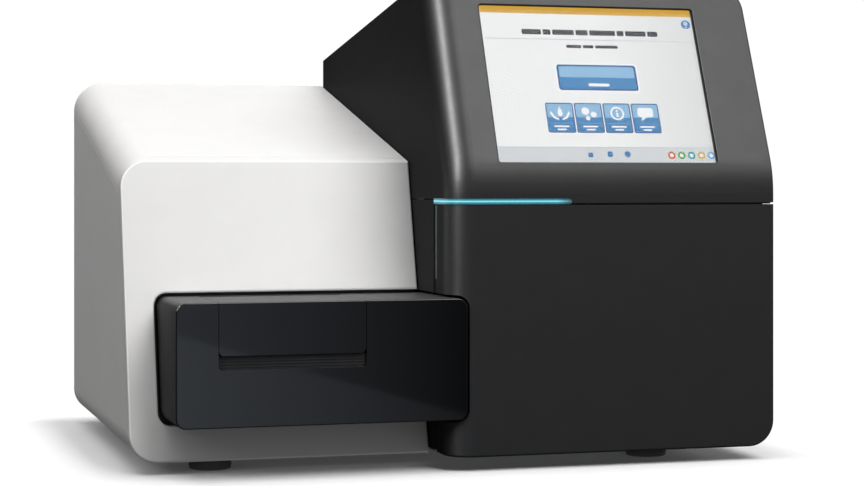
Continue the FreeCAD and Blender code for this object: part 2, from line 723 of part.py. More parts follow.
def make_pod():
    y_shell = Y_FRONT + POD_GLASS
    radii = [POD_CORNER] * 4
    outer = front_prism(POD_LEFT, POD_RIGHT, POD_BOTTOM, POD_TOP, radii, y_shell,
                        V(0, POD_BACK - y_shell, 0))
    s = POD_SKIN
    inner = front_prism(POD_LEFT + s, POD_RIGHT - s, POD_BOTTOM + s, POD_TOP - s,
                        [POD_CORNER - s] * 4, y_shell + s, V(0, FAR, 0))
    shell = outer.cut(inner)
    # opening for the flap, in front and on top
    g = FLAP_GAP
    shell = shell.cut(box(FLAP_LEFT - g, FLAP_RIGHT + g, Y_FRONT - 5, FLAP_AXIS_Y + 11,
                          FLAP_BOTTOM - g, POD_TOP + 5))
    shell = shell.cut(box(FLAP_LEFT, FLAP_RIGHT, Y_FRONT - 5, y_shell + 2, GRIP_BOTTOM,
                          FLAP_BOTTOM))
    # hinge lugs at the back of the opening
    lugs = []
    for x0, x1 in ((FLAP_LEFT - 16, FLAP_LEFT - g), (FLAP_RIGHT + g, FLAP_RIGHT + 16)):
        lug = box(x0, x1, FLAP_AXIS_Y - 6, FLAP_AXIS_Y + 6, FLAP_AXIS_Z - 6, POD_TOP - s + 0.5)
        lugs.append(lug)
    shell = fuse([shell, pod_flange()] + lugs)
    pins = [
        rod(FLAP_PIN_RADIUS, V(x, FLAP_AXIS_Y, FLAP_AXIS_Z), RIGHT, 28)
        for x in (FLAP_LEFT - 12, FLAP_RIGHT - 16)
    ]
    for pin in pins:
        shell = shell.cut(pin)
    node("pod_housing", shell)
    HINGE_PINS.extend(pins)

    # front glass around the flap
    glass = front_prism(POD_LEFT, POD_RIGHT, POD_BOTTOM, POD_TOP, radii, Y_FRONT,
                        V(0, POD_GLASS - 0.2, 0))
    outer_edge = lambda e: lies_on(e, y=Y_FRONT)
    glass = fillet_where(glass, EDGE, outer_edge)
    flap_gap = front_prism(FLAP_LEFT - g, FLAP_RIGHT + g, GRIP_BOTTOM - g, POD_TOP + 5,
                           [4, 4, 0, 0], Y_FRONT - 5, V(0, 25, 0))
    node("pod_front_glass", glass.cut(flap_gap))

    # flap: front lip and top plate in one, with two hinge arms
    f = FLAP_SKIN
    front = front_prism(FLAP_LEFT, FLAP_RIGHT, FLAP_BOTTOM, POD_TOP, [5, 5, 0, 0], Y_FRONT,
                        V(0, f, 0))
    top = box(FLAP_LEFT, FLAP_RIGHT, Y_FRONT, FLAP_BACK, POD_TOP - f, POD_TOP)
    flap = fuse([front, top])
    flap = fillet_where(flap, EDGE, lambda e: lies_on(e, y=Y_FRONT, z=POD_TOP))
    arms = []
    for x in (FLAP_LEFT + 6, FLAP_RIGHT - 14):
        arm = box(x, x + 8, FLAP_AXIS_Y - 5, FLAP_AXIS_Y + 3, FLAP_AXIS_Z, POD_TOP - f + 1)
        arms.append(fuse([arm, rod(5, V(x, FLAP_AXIS_Y, FLAP_AXIS_Z), RIGHT, 8)]))
    flap = fuse([flap] + arms)
    flap = flap.cut(rod(FLAP_PIN_RADIUS + RUN, V(FLAP_LEFT - 5, FLAP_AXIS_Y, FLAP_AXIS_Z),
                        RIGHT, FLAP_RIGHT - FLAP_LEFT + 10))
    node("flow_cell_door", flap)

    # recessed finger grip below the flap
    grip_y = Y_FRONT + 4
    grip = box(FLAP_LEFT + 0.2, FLAP_RIGHT - 0.2, grip_y, y_shell + 1.8, GRIP_BOTTOM + 0.2,
               FLAP_BOTTOM - 1)
    for i in range(4):
        z = GRIP_BOTTOM + 2 + 3 * i
        rib = box(FLAP_LEFT + 0.2, FLAP_RIGHT - 0.2, grip_y - 0.8, grip_y, z, z + 1.2)
        grip = grip.fuse(rib)
    bounds = front_prism(FLAP_LEFT + 0.2, FLAP_RIGHT - 0.2, GRIP_BOTTOM + 0.2, FLAP_BOTTOM,
                         [3.5, 3.5, 0, 0], Y_FRONT, V(0, 20, 0))
    node("finger_grip", grip.common(bounds).removeSplitter())


# ---------------------------------------------------------------- chassis
def make_chassis():
    t = SKIN
    low = FOOT_HEIGHT
    wing = box(X_LEFT + WING_SIDE_RETURN + SEAM, WING_RIGHT + 10,
               wing_front(low, WING_PLATE + PLATE_GAP) + 4, Y_REAR - t - 1, low, low + t)
    tower = box(TOWER_LEFT + t + 1, X_RIGHT - CORNER_BOTTOM - 1, BAY_FRONT + 2,
                Y_REAR - t - 1, low, low + t)
    front_flange = box(TOWER_LEFT + t + 1, X_RIGHT - CORNER_BOTTOM - 1, BAY_FRONT,
                       BAY_FRONT + 2.5, low, BAY_BOTTOM - BAY_WALL - 1)
    tray = fuse([wing, tower, front_flange])
    for x in (-280, -180, -80, 40, 120, 200):
        for y in (-20, 40, 100):
            tray = tray.cut(plan_prism(x, x + 50, y, y + 8, [3.9] * 4, low - 1, low + t + 1))
    node("base_tray", tray)

    feet = []
    for x, y in FEET:
        foot = rod(FOOT_RADIUS, V(x, y, 0), UP, FOOT_HEIGHT)
        foot = foot.makeFillet(2, [e for e in foot.Edges if abs(e.BoundBox.ZMax) < 0.01])
        feet.append(foot)
    node("feet", group(feet))

    # bulkhead between wing and tower
    x0 = TOWER_LEFT + t + 0.5
    top = 415
    back = Y_REAR - 8
    outline = [(-200, low + t), (-150, top), (back, top), (back, low + t)]
    sheet = side_prism(outline, x0, x0 + SHEET)
    sheet = sheet.cut(box(-FAR, FAR, -FAR, POD_BACK + 10, NOTCH_BOTTOM - 5, POD_TOP + 8))
    sheet = sheet.cut(side_slot(x0 - 5, x0 + 5, 120, 60, 100))
    sheet = sheet.cut(side_slot(x0 - 5, x0 + 5, 150, 60, 100))
    node("centre_bulkhead", sheet)

    shelf_front, shelf_back = -210, Y_REAR - t - 6
    shelf = box(x0 + SHEET, X_RIGHT - t - 1, shelf_front, shelf_back, SHELF_Z, SHELF_Z + SHEET)
    shelf = shelf.cut(plan_prism(20, 80, 200, 240, [6] * 4, SHELF_Z - 5, SHELF_Z + 5))
    right_wall = box(X_RIGHT - t - 1 - SHEET, X_RIGHT - t - 1, shelf_front, shelf_back, 48,
                     SHELF_Z)
    node("equipment_shelf", fuse([shelf, right_wall]))


# ---------------------------------------------------------------- door hinge
def make_door_hinge():
    frame_leaves, door_leaves, pins = [], [], []
    up = HINGE_KNUCKLE
    for z in HINGE_HEIGHTS:
        axis = V(HINGE_X, HINGE_Y, z)
        # the middle knuckle belongs to the frame, the outer two to the door
        knuckle = rod(HINGE_BARREL, axis, UP, 2 * up)
        leaf = box(318, HINGE_X, HINGE_Y + 0.3, BAY_FRONT, z, z + 2 * up)
        frame = fuse([knuckle, leaf]).cut(rod(HINGE_PIN, axis - UP * 50, UP, 100))
        frame_leaves.append(frame)
        doors = []
        for z0 in (z - up, z + 2 * up + 0.3):
            end = V(HINGE_X, HINGE_Y, z0)
            doors.append(rod(HINGE_BARREL, end, UP, up - 0.3))
            doors.append(box(320, HINGE_X, Y_DOOR + FRONT_THICKNESS, HINGE_Y - 0.3, z0,
                             z0 + up - 0.3))
        door_leaf = box(318, 332, Y_DOOR + FRONT_THICKNESS, HINGE_Y - 1.0, z - up,
                        z + 3 * up)
        door = fuse(doors + [door_leaf])
        door_leaves.append(door.cut(rod(HINGE_PIN + RUN, axis - UP * 50, UP, 100)))
        pins.append(rod(HINGE_PIN, axis - UP * up, UP, 4 * up))
    node("door_hinge_frame_leaves", group(frame_leaves))
    node("door_hinge_door_leaves", group(door_leaves))
    node("door_hinge_pins", group(pins))
    magnets = []
    for x in (165, 300):
        magnets.append(rod(5, V(x, Y_DOOR + FRONT_THICKNESS + 0.6, 35), BACK,
                           BAY_FRONT + 8 - Y_DOOR - FRONT_THICKNESS - 0.6))
    node("door_latch_magnets", group(magnets))


# ---------------------------------------------------------------- reagent bay
def make_bay():
    w = BAY_WALL
    outer = box(BAY_LEFT - w, BAY_RIGHT + w, BAY_FRONT, BAY_BACK + w, BAY_BOTTOM - w,
                BAY_TOP + w)
    inner = box(BAY_LEFT, BAY_RIGHT, BAY_FRONT - 5, BAY_BACK, BAY_BOTTOM, BAY_TOP)
    liner = outer.cut(inner)
    liner = liner.cut(box(CHILLER_LEFT, CHILLER_RIGHT, BAY_BACK - 5, BAY_BACK + 10,
                          CHILLER_LOW, CHILLER_HIGH))
    # the lower left corner stands back from the pod's pocket
    step_x, step_z = 3.0, POD_TOP + 12
    liner = liner.cut(box(-FAR, step_x, -FAR, POD_BACK + 12, 0, step_z))
    inner_wall = box(step_x, step_x + w, BAY_FRONT, BAY_BACK + w, BAY_BOTTOM - w, step_z + w)
    ledge = box(BAY_LEFT - w, step_x + w, BAY_FRONT, BAY_BACK + w, step_z, step_z + w)
    # form-fitted seats for the two bottles
    seat = box(145, BAY_RIGHT, BAY_FRONT + 8, BAY_BACK, BAY_BOTTOM, BAY_BOTTOM + 22)
    for x in BOTTLE_X:
        seat = seat.cut(rod(BOTTLE_RADIUS + 1.5, V(x, BOTTLE_Y, BOTTLE_FLOOR), UP, 60))
    handle_ears = []
    for x in (138, 316):
        ear = box(x, x + 6, HANDLE_AXIS_Y - 8, BAY_BACK, HANDLE_AXIS_Z - 8, HANDLE_AXIS_Z + 8)
        handle_ears.append(ear.cut(rod(3, V(x - 5, HANDLE_AXIS_Y, HANDLE_AXIS_Z), RIGHT, 20)))
    hinge_posts = []
    for z in (CHILLER_LOW - 14, CHILLER_HIGH + 8):
        post = box(DOOR_AXIS_X - 5, DOOR_AXIS_X + 5, DOOR_AXIS_Y - 5, BAY_BACK, z, z + 6)
        hinge_posts.append(post.cut(rod(2, V(DOOR_AXIS_X, DOOR_AXIS_Y, z - 5), UP, 20)))
    rail = box(228, 234, -146, BAY_BACK, 168, 266)
    liner = fuse([liner, inner_wall, ledge, seat, rail] + handle_ears + hinge_posts)
    node("bay_liner", liner)
    make_chiller()
    make_bottles()


def well_places():
    """The sipper and well positions of the reagent cartridge."""
    return [(46 + 12 * i, -80 + 30 * j) for i in range(6) for j in range(4)]


def make_chiller():
    w = CHILLER_WALL
    y0 = BAY_BACK + BAY_WALL
    outer = box(CHILLER_LEFT - w, CHILLER_RIGHT + w, y0, CHILLER_END + w, CHILLER_LOW - w,
                CHILLER_HIGH + w)
    inner = box(CHILLER_LEFT, CHILLER_RIGHT, y0 - 5, CHILLER_END, CHILLER_LOW, CHILLER_HIGH)
    slot = box(38, 114, -92, 22, CHILLER_HIGH - 5, CHILLER_HIGH + w + 5)
    node("reagent_chiller", outer.cut(inner).cut(slot))

    # finned sink of the thermoelectric cooler, behind the chamber
    plate = box(CHILLER_LEFT - 10, CHILLER_RIGHT + 10, CHILLER_END + w, CHILLER_END + w + 6,
                CHILLER_LOW - 10, CHILLER_HIGH + 10)
    fins = [
        box(x, x + 2, CHILLER_END + w + 6, CHILLER_END + w + 46, CHILLER_LOW - 10,
            CHILLER_HIGH + 10)
        for x in range(20, 134, 8)
    ]
    node("chiller_heat_sink", fuse([plate] + fins))

    # insulated door with its knob, hinged on the left
    top = CHILLER_HIGH + 7.5
    low = CHILLER_LOW - 7.5
    panel = front_prism(DOOR_AXIS_X + 6, CHILLER_RIGHT + 6, low, top, [4] * 4, -134.0,
                        V(0, 8.7, 0))
    knuckles = []
    for z0, z1 in ((low + 3, low + 23), (top - 23, top - 3)):
        arm = box(DOOR_AXIS_X, DOOR_AXIS_X + 7, DOOR_AXIS_Y - 4, -130, z0, z1)
        barrel = rod(4, V(DOOR_AXIS_X, DOOR_AXIS_Y, z0), UP, z1 - z0)
        knuckles.append(fuse([arm, barrel]))
    knob = rod(5, V(118, -134, 81), V(0, -1, 0), 10)
    pull = rod(9, V(118, -141, 81), V(0, -1, 0), 6)
    door = fuse([panel, knob, pull] + knuckles)
    door = door.cut(rod(2 + RUN, V(DOOR_AXIS_X, DOOR_AXIS_Y, low - 20), UP, 200))
    node("chiller_door", door)
    pin_low = CHILLER_LOW - 14
    HINGE_PINS.append(rod(2, V(DOOR_AXIS_X, DOOR_AXIS_Y, pin_low), UP,
                          CHILLER_HIGH + 14 - pin_low))

    # cartridge with its wells
    block = plan_prism(CHILLER_LEFT + 4, CHILLER_RIGHT - 4, -116, 34, [6, 6, 6, 6],
                       CHILLER_LOW, CHILLER_LOW + 62)
    for x, y in well_places():
        block = block.cut(rod(4.5, V(x, y, CHILLER_LOW + 8), UP, 80))
    handle = box(61, 91, -121, -115, 60, 90)
    node("reagent_cartridge", fuse([block, handle]))

    # sipper manifold on guide rods above the chiller
    z0 = MANIFOLD_LOW
    plate = plan_prism(34, 138, -110, 40, [5] * 4, z0, z0 + MANIFOLD_THICKNESS)
    needles = [
        rod(NEEDLE_RADIUS, V(x, y, z0 - NEEDLE_REACH), UP, NEEDLE_REACH + 2)
        for x, y in well_places()
    ]
    boss_low, boss_height = z0 - 6, 2 * MANIFOLD_THICKNESS
    bosses = [rod(GUIDE_RADIUS + 4, V(x, y, boss_low), UP, boss_height) for x, y in GUIDES]
    nut = rod(LEAD_SCREW_RADIUS + 6, V(SCREW_X, SCREW_Y, boss_low), UP, boss_height)
    manifold = fuse([plate] + bosses + [nut] + needles)
    for x, y in GUIDES:
        manifold = manifold.cut(rod(GUIDE_RADIUS + RUN, V(x, y, 0), UP, FAR))
    manifold = manifold.cut(rod(LEAD_SCREW_RADIUS + RUN, V(SCREW_X, SCREW_Y, 0), UP, FAR))
    node("sipper_manifold", manifold)
    rod_low = CHILLER_HIGH + w
    rods = [rod(GUIDE_RADIUS, V(x, y, rod_low), UP, SHELF_Z - rod_low) for x, y in GUIDES]
    node("manifold_guide_rods", group(rods))
    node("manifold_lead_screw", rod(LEAD_SCREW_RADIUS, V(SCREW_X, SCREW_Y, rod_low + 1), UP, 118))
    MOTORS.append(box(SCREW_X - 14, SCREW_X + 14, SCREW_Y - 14, SCREW_Y + 14,
                      rod_low + 120, SHELF_Z))


def make_bottles():
    bottles = []
    for x in BOTTLE_X:
        base = V(x, BOTTLE_Y, BOTTLE_FLOOR)
        shoulder, cone_height = BOTTLE_SHOULDER, 18
        neck_low = shoulder + cone_height
        inside, mouth = BOTTLE_RADIUS - BOTTLE_WALL, BOTTLE_NECK - BOTTLE_WALL
        body = rod(BOTTLE_RADIUS, base, UP, shoulder)
        cone = Part.makeCone(BOTTLE_RADIUS, BOTTLE_NECK, cone_height, base + UP * shoulder, UP)
        neck = rod(BOTTLE_NECK, base + UP * neck_low, UP, BOTTLE_HEIGHT - neck_low)
        hollow = fuse([
            rod(inside, base + UP * 3, UP, shoulder - 3),
            Part.makeCone(inside, mouth, cone_height, base + UP * shoulder, UP),
            rod(mouth, base + UP * neck_low, UP, 40),
        ])
        bottles.append(fuse([body, cone, neck]).cut(hollow))
    node("fluid_bottles", group(bottles))

    # sipper block that dips one tube into each bottle
    z0 = 172.0
    block = plan_prism(168, 294, BOTTLE_Y - 14, BOTTLE_Y + 14, [6] * 4, z0, z0 + 12)
    tubes = [rod(3, V(x, BOTTLE_Y, z0 - 82), UP, 90) for x in BOTTLE_X]
    arm = math.radians(HANDLE_DROP)
    bar_y = HANDLE_AXIS_Y - HANDLE_ARM * math.cos(arm)
    bar_z = HANDLE_AXIS_Z - HANDLE_ARM * math.sin(arm)
    lug = box(225, 237, bar_y - 19, BOTTLE_Y, z0, bar_z + 9)
    shoe = box(220, 242, BOTTLE_Y, -132, z0, z0 + 12)
    block = fuse([block, lug, shoe] + tubes)
    block = block.cut(box(220, 240, bar_y - 16, bar_y + 8, bar_z - 6.6, bar_z + 6.6))
    node("bottle_sippers", block.cut(box(227.5, 234.5, -146.5, -120, 0, 400)))

    # U-shaped sipper handle
    bar = rod(5, V(150, bar_y, bar_z), RIGHT, 160)
    arms = []
    for x in (145, 307):
        points = [(HANDLE_AXIS_Y, HANDLE_AXIS_Z), (bar_y, bar_z)]
        arms.append(flat_link(points, 7, x, x + 8))
    handle = fuse([bar] + arms)
    handle = handle.cut(rod(3 + RUN, V(100, HANDLE_AXIS_Y, HANDLE_AXIS_Z), RIGHT, 300))
    node("sipper_handle", handle)
    for x, length in ((138, 15), (307, 13)):
        HINGE_PINS.append(rod(3, V(x, HANDLE_AXIS_Y, HANDLE_AXIS_Z), RIGHT, length))


def flat_link(points, radius, x0, x1):
    """A flat bar with round ends between two (y, z) points."""
    (ya, za), (yb, zb) = points
    ends = [rod(radius, V(x0, y, z), RIGHT, x1 - x0) for y, z in points]
    length = math.hypot(yb - ya, zb - za)
    ny = -(zb - za) / length * radius
    nz = (yb - ya) / length * radius
    corners = [(ya + ny, za + nz), (yb + ny, zb + nz), (yb - ny, zb - nz), (ya - ny, za - nz)]
    return fuse(ends + [side_prism(corners, x0, x1)])


# ---------------------------------------------------------------- flow cell stage and optics
def make_stage():
    plate = box(-292, -80, -262, 190, PLATE_LOW, PLATE_HIGH)
    plate = plate.cut(box(STAGE_X - 24, STAGE_X + 24, -250, 96, PLATE_LOW + 7, PLATE_HIGH + 1))
    for x in (-280, -92):
        for y in (-80, 170):
            plate = plate.fuse(rod(12, V(x, y, FOOT_HEIGHT + SKIN), UP,
                                   PLATE_LOW - FOOT_HEIGHT - SKIN))
    node("optics_base", plate.removeSplitter())
    rails = []
    for x in (STAGE_X - RAIL_OFFSET, STAGE_X + RAIL_OFFSET):
        rail = box(x - 6, x + 6, -258, 90, PLATE_HIGH, RAIL_TOP)
        groove = 1.5
        for side in (-6, 6 - groove):
            rail = rail.cut(box(x + side, x + side + groove, -FAR, FAR, PLATE_HIGH + 3,
                                PLATE_HIGH + 5.5))
        rails.append(rail)
    node("stage_rails", group(rails))

    y0 = STAGE_FRONT
    y1 = y0 + STAGE_LENGTH
    top = box(STAGE_X - 80, STAGE_X + 80, y0, y1, RAIL_TOP + 1, RAIL_TOP + 9)
    blocks = []
    for x in (STAGE_X - RAIL_OFFSET, STAGE_X + RAIL_OFFSET):
        block = box(x - 14, x + 14, y0 + 8, y1 - 8, PLATE_HIGH + 1, RAIL_TOP + 1)
        blocks.append(block.cut(box(x - 6 - RUN, x + 6 + RUN, y0, y1, 0, RAIL_TOP + RUN)))
    nut = box(STAGE_X - 12, STAGE_X + 12, y0 + 30, y0 + 54, PLATE_LOW + 9, RAIL_TOP + 1)
    carriage = fuse([top, nut] + blocks)
    carriage = carriage.cut(rod(LEAD_SCREW_RADIUS + RUN, V(STAGE_X, -FAR, SCREW_Z), BACK, FAR))
    top_z = RAIL_TOP + 9
    # ears for the latch pin and a well for the release button
    ears = []
    for x in (STAGE_X - 26, STAGE_X + 20):
        ear = box(x, x + 6, LATCH_Y - 5, LATCH_Y + 5, top_z, LATCH_Z + 5)
        ears.append(ear.cut(rod(2, V(x - 5, LATCH_Y, LATCH_Z), RIGHT, 20)))
    carriage = fuse([carriage] + ears)
    carriage = carriage.cut(rod(5.1, V(BUTTON_X, BUTTON_Y, top_z - 6), UP, 20))
    node("stage_carriage", carriage)
    node("stage_lead_screw", rod(LEAD_SCREW_RADIUS, V(STAGE_X, -246, SCREW_Z), BACK, 340))
    MOTORS.append(box(STAGE_X - 21, STAGE_X + 21, 98, 140, PLATE_HIGH, PLATE_HIGH + 34))

    cell_z = top_z + THERMAL_HEIGHT
    thermal = box(STAGE_X - 42, STAGE_X + 42, FLOW_CELL_Y - 24, FLOW_CELL_Y + 22, top_z,
                  cell_z)
    for i in range(4):
        y = FLOW_CELL_Y - 16 + 10 * i
        thermal = thermal.cut(rod(2.5, V(STAGE_X - 50, y, top_z + 6), RIGHT, 100))
    node("thermal_block", thermal)
    frame = plan_prism(STAGE_X - 36, STAGE_X + 36, FLOW_CELL_Y - 18, FLOW_CELL_Y + 14,
                       [3] * 4, cell_z, cell_z + 4)
    window = plan_prism(STAGE_X - 28, STAGE_X + 28, FLOW_CELL_Y - 10, FLOW_CELL_Y + 6,
                        [2] * 4, cell_z + 2, cell_z + 5)
    node("flow_cell", frame.cut(window))

    # latch frame that clamps the flow cell, hinged behind it
    z0 = cell_z + 4.2
    bar = box(STAGE_X - 18, STAGE_X + 18, FLOW_CELL_Y - 20, LATCH_Y, z0, z0 + 4)
    bar = bar.cut(box(STAGE_X - 11, STAGE_X + 11, FLOW_CELL_Y - 12, FLOW_CELL_Y + 9, z0 - 1,
                      z0 + 5))
    tip = rod(3, V(STAGE_X - 10, FLOW_CELL_Y - 20, z0 + 3), RIGHT, 20)
    eye = rod(4.5, V(STAGE_X - 18, LATCH_Y, LATCH_Z), RIGHT, 36)
    latch = fuse([bar, tip, eye]).cut(rod(2 + RUN, V(-FAR, LATCH_Y, LATCH_Z), RIGHT, FAR))
    node("flow_cell_latch", latch)
    node("latch_pin", rod(2, V(STAGE_X - 26, LATCH_Y, LATCH_Z), RIGHT, 52))
    button = rod(5, V(BUTTON_X, BUTTON_Y, top_z - 2.5), UP, 8.5)
    node("latch_release_button", button.makeFillet(1, [button.Edges[0]]))


def make_optics():
    # tower of the optics module over the imaging position
    stand = [
        box(x, x + OPTICS_LEG, OPTICS_FRONT, OPTICS_BACK, PLATE_HIGH, BRIDGE_LOW)
        for x in (OPTICS_LEFT, OPTICS_RIGHT - OPTICS_LEG)
    ]
    bridge = box(OPTICS_LEFT, OPTICS_RIGHT, OPTICS_FRONT, OPTICS_BACK, BRIDGE_LOW, BRIDGE_HIGH)
    housing = box(STAGE_X - 70, STAGE_X + 70, OPTICS_FRONT + 20, OPTICS_BACK - 30, BRIDGE_HIGH,
                  CAMERA_LOW)
    camera = box(STAGE_X - 35, STAGE_X + 35, 20, OPTICS_BACK - 40, CAMERA_LOW, CAMERA_HIGH)
    frame = fuse(stand + [bridge, housing, camera])
    frame = frame.cut(rod(LENS_RADIUS + RUN, V(STAGE_X, IMAGING_Y, BRIDGE_LOW - 15), UP, 60))
    node("optics_housing", frame)
    tip_height, nose_height = 20, 20
    low = V(STAGE_X, IMAGING_Y, LENS_LOW)
    tip = rod(LENS_TIP_RADIUS, low, UP, tip_height + 1)
    nose = Part.makeCone(LENS_TIP_RADIUS, LENS_RADIUS, nose_height, low + UP * tip_height, UP)
    lens = rod(LENS_RADIUS, low + UP * (tip_height + nose_height), UP, 70)
    node("objective_lens", fuse([lens, nose, tip]))


# ---------------------------------------------------------------- fluidics, electronics, rear
def within(opening):
    """The opening's bounds less the fitting clearance."""
    x0, x1, z0, z1 = opening
    return x0 + FIT, x1 - FIT, z0 + FIT, z1 - FIT


def make_services():
    # two-channel syringe pump behind the bottles
    pump = box(170, 290, -100, -30, 60, 230)
    barrels, plungers = [], []
    for x in SYRINGE_X:
        hole = V(x, PUMP_Y, 130)
        barrels.append(tube(SYRINGE_BORE + 3, SYRINGE_BORE, hole, UP, 80))
        plunger = rod(SYRINGE_BORE - RUN, V(x, PUMP_Y, 150), UP, 8)
        stem = rod(3, V(x, PUMP_Y, 92), UP, 60)
        plungers.append(fuse([plunger, stem]))
    pump = fuse([pump] + barrels)
    node("syringe_pump", pump)
    yoke = box(190, 270, PUMP_Y - 6, PUMP_Y + 6, 84, 94)
    node("syringe_plungers", fuse([yoke] + plungers))

    board = box(-5, 175, -150, 60, SHELF_Z + 8, SHELF_Z + 8 + SHEET)
    chips = [box(30, 75, -100, -55, SHELF_Z + 9, SHELF_Z + 32)]
    chips += [box(100 + 14 * i, 105 + 14 * i, -120, 0, SHELF_Z + 9, SHELF_Z + 38) for i in range(4)]
    posts = [
        rod(4, V(x, y, SHELF_Z + 2), UP, 7) for x in (3, 167) for y in (-142, 52)
    ]
    node("computer_board", fuse([board] + chips + posts))
    supply = box(190, 320, 60, 240, SHELF_Z + 2, SHELF_Z + 92)
    for i in range(8):
        supply = supply.cut(box(205 + 13 * i, 211 + 13 * i, 235, 245, SHELF_Z + 20, SHELF_Z + 74))
    node("power_supply", supply)

    x0, x1, z0, z1 = within(INLET_OPENING)
    inlet = box(x0, x1, Y_REAR - 30, Y_REAR - 0.5, z0, z1)
    inlet = inlet.cut(box(244, 264, Y_REAR - 20, Y_REAR, 66, 102))
    blades = [box(252, 256, Y_REAR - 21, Y_REAR - 6, z, z + 2) for z in (73, 83, 93)]
    inlet = fuse([inlet] + blades)
    x0, x1, z0, z1 = within(PORTS_OPENING)
    ports = box(x0, x1, Y_REAR - 18, Y_REAR - 0.5, z0, z1)
    for x, wide in ((43, 14), (61, 14), (79, 13), (96, 13)):
        ports = ports.cut(box(x, x + wide, Y_REAR - 12, Y_REAR, 333, 345))
    node("data_ports", ports)

    # rocker switch, pivoted about X
    x0, x1, z0, z1 = within(SWITCH_OPENING)
    frame = box(x0, x1, Y_REAR - 22, Y_REAR, z0, z1)
    frame = frame.cut(box(204, 221, Y_REAR - 18, FAR, 72, 96))
    pivot = V(x0, SWITCH_Y, SWITCH_Z)
    frame = frame.cut(rod(1.5, pivot, RIGHT, 20.6))
    node("power_inlet", group([inlet, frame]))
    rocker = side_prism(
        [
            (SWITCH_Y - 3, SWITCH_Z - 8), (SWITCH_Y - 3, SWITCH_Z + 8),
            (SWITCH_Y + 3, SWITCH_Z + 11), (Y_REAR - 0.5, SWITCH_Z + 10.5),
            (Y_REAR - 2.5, SWITCH_Z), (Y_REAR - 0.5, SWITCH_Z - 10.5),
            (SWITCH_Y + 3, SWITCH_Z - 11),
        ],
        204.4, 220.6,
    )
    stub = rod(1.5 - RUN, V(202.6, SWITCH_Y, SWITCH_Z), RIGHT, 19.8)
    rocker = fuse([rocker, stub])
    rocker.rotate(pivot, RIGHT, -SWITCH_TILT)
    node("power_switch", rocker)

    # wing cooling fan
    y0 = Y_REAR - SKIN - FAN_DEPTH - 3
    centre = V(FAN_X, y0, FAN_Z)
    half = FAN_HALF
    ring = box(FAN_X - half, FAN_X + half, y0, y0 + FAN_DEPTH, FAN_Z - half, FAN_Z + half)
    ring = ring.cut(rod(FAN_BORE, centre - BACK * 5, BACK, 40))
    arms = [rod(FAN_HUB, centre, BACK, 4), rod(FAN_AXLE, centre, BACK, 18)]
    for quarter in range(4):
        arm = box(FAN_HUB - 2, FAN_BORE + 3, 0, 3, -3, 3)
        arm.translate(centre)
        arm.rotate(centre, BACK, 90 * quarter)
        arms.append(arm)
    node("fan_frame", fuse([ring] + arms))
    hub = rod(FAN_HUB, centre + BACK * 5, BACK, 18)
    blades = []
    for i in range(FAN_BLADES):
        blade = box(0, FAN_BORE - 3, 0, 2, -9, 9)
        blade.rotate(V(0, 0, 0), RIGHT, 40)
        blade.translate(centre + BACK * 13)
        blade.rotate(centre, BACK, 360 * i / FAN_BLADES)
        blades.append(blade)
    rotor = fuse([hub] + blades)
    node("fan_rotor", rotor.cut(rod(FAN_AXLE + RUN, centre, BACK, 40)))


def make_screws():
    """Countersunk-flush screws in both rear panels, each in its own counterbore."""
    screws = []
    places = [(x, z) for x in (-325, -180, -40) for z in (30, 370)]
    places += [(x, z) for x in (-8, 160, 325) for z in (60, 430)]
    for x, z in places:
        name = "left_rear_panel" if x < WING_RIGHT else "tower_rear_panel"
        start = V(x, Y_REAR, z)
        front = V(0, -1, 0)
        NODES[name] = NODES[name].cut(rod(3.8, start, front, 1.8)).cut(rod(2, start, front, 5))
        head = rod(3.6, start - BACK * 0.2, front, 1.6)
        screws.append(fuse([head, rod(2, start - BACK * 0.2, front, 9)]))
    node("cover_screws", group(screws))


def main():
    make_chassis()
    make_tower()
    make_screen()
    make_wing()
    make_pod()
    make_door_hinge()
    make_bay()
    make_stage()
    make_optics()
    make_services()
    node("hinge_pins", group(HINGE_PINS))
    node("lead_screw_motors", group(MOTORS))
    make_screws()
    os.makedirs("parts", exist_ok=True)
    for name, shape in NODES.items():
        if not shape.isValid():
            print("not valid:", name)
        shape.exportStep(os.path.join("parts", name + ".step"))
    print(len(NODES), "nodes")


main()
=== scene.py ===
"""Looks of a benchtop DNA sequencing instrument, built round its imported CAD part."""
from contextlib import contextmanager
import json
import math
import random

import bmesh
import bpy
from mathutils import Matrix, Vector


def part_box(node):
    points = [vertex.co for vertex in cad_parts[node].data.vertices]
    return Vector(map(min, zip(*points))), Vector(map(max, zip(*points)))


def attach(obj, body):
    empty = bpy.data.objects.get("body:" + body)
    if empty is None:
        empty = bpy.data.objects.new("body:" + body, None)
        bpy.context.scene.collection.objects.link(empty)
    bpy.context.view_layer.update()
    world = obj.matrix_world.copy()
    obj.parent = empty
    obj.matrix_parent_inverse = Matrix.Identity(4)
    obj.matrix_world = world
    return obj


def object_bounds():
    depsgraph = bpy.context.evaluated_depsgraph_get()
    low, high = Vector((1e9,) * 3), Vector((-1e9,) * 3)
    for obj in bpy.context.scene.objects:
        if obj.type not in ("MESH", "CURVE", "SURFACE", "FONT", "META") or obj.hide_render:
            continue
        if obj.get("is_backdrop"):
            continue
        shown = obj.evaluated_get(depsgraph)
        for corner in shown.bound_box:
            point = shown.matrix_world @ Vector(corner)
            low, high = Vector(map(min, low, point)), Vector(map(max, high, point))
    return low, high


MM = 0.001
SEED = 7
WHITE = (1, 1, 1, 1)

# camera, in the row frame
CAMERA_PLACE = (-0.64434, -2.29814, 0.30206)
CAMERA_TURN = (math.radians(90), 0, math.radians(-16.66))
CAMERA_LENS = 85.30
CAMERA_SENSOR = 36.0
CAMERA_SHIFT = (-0.00355, -0.0723)

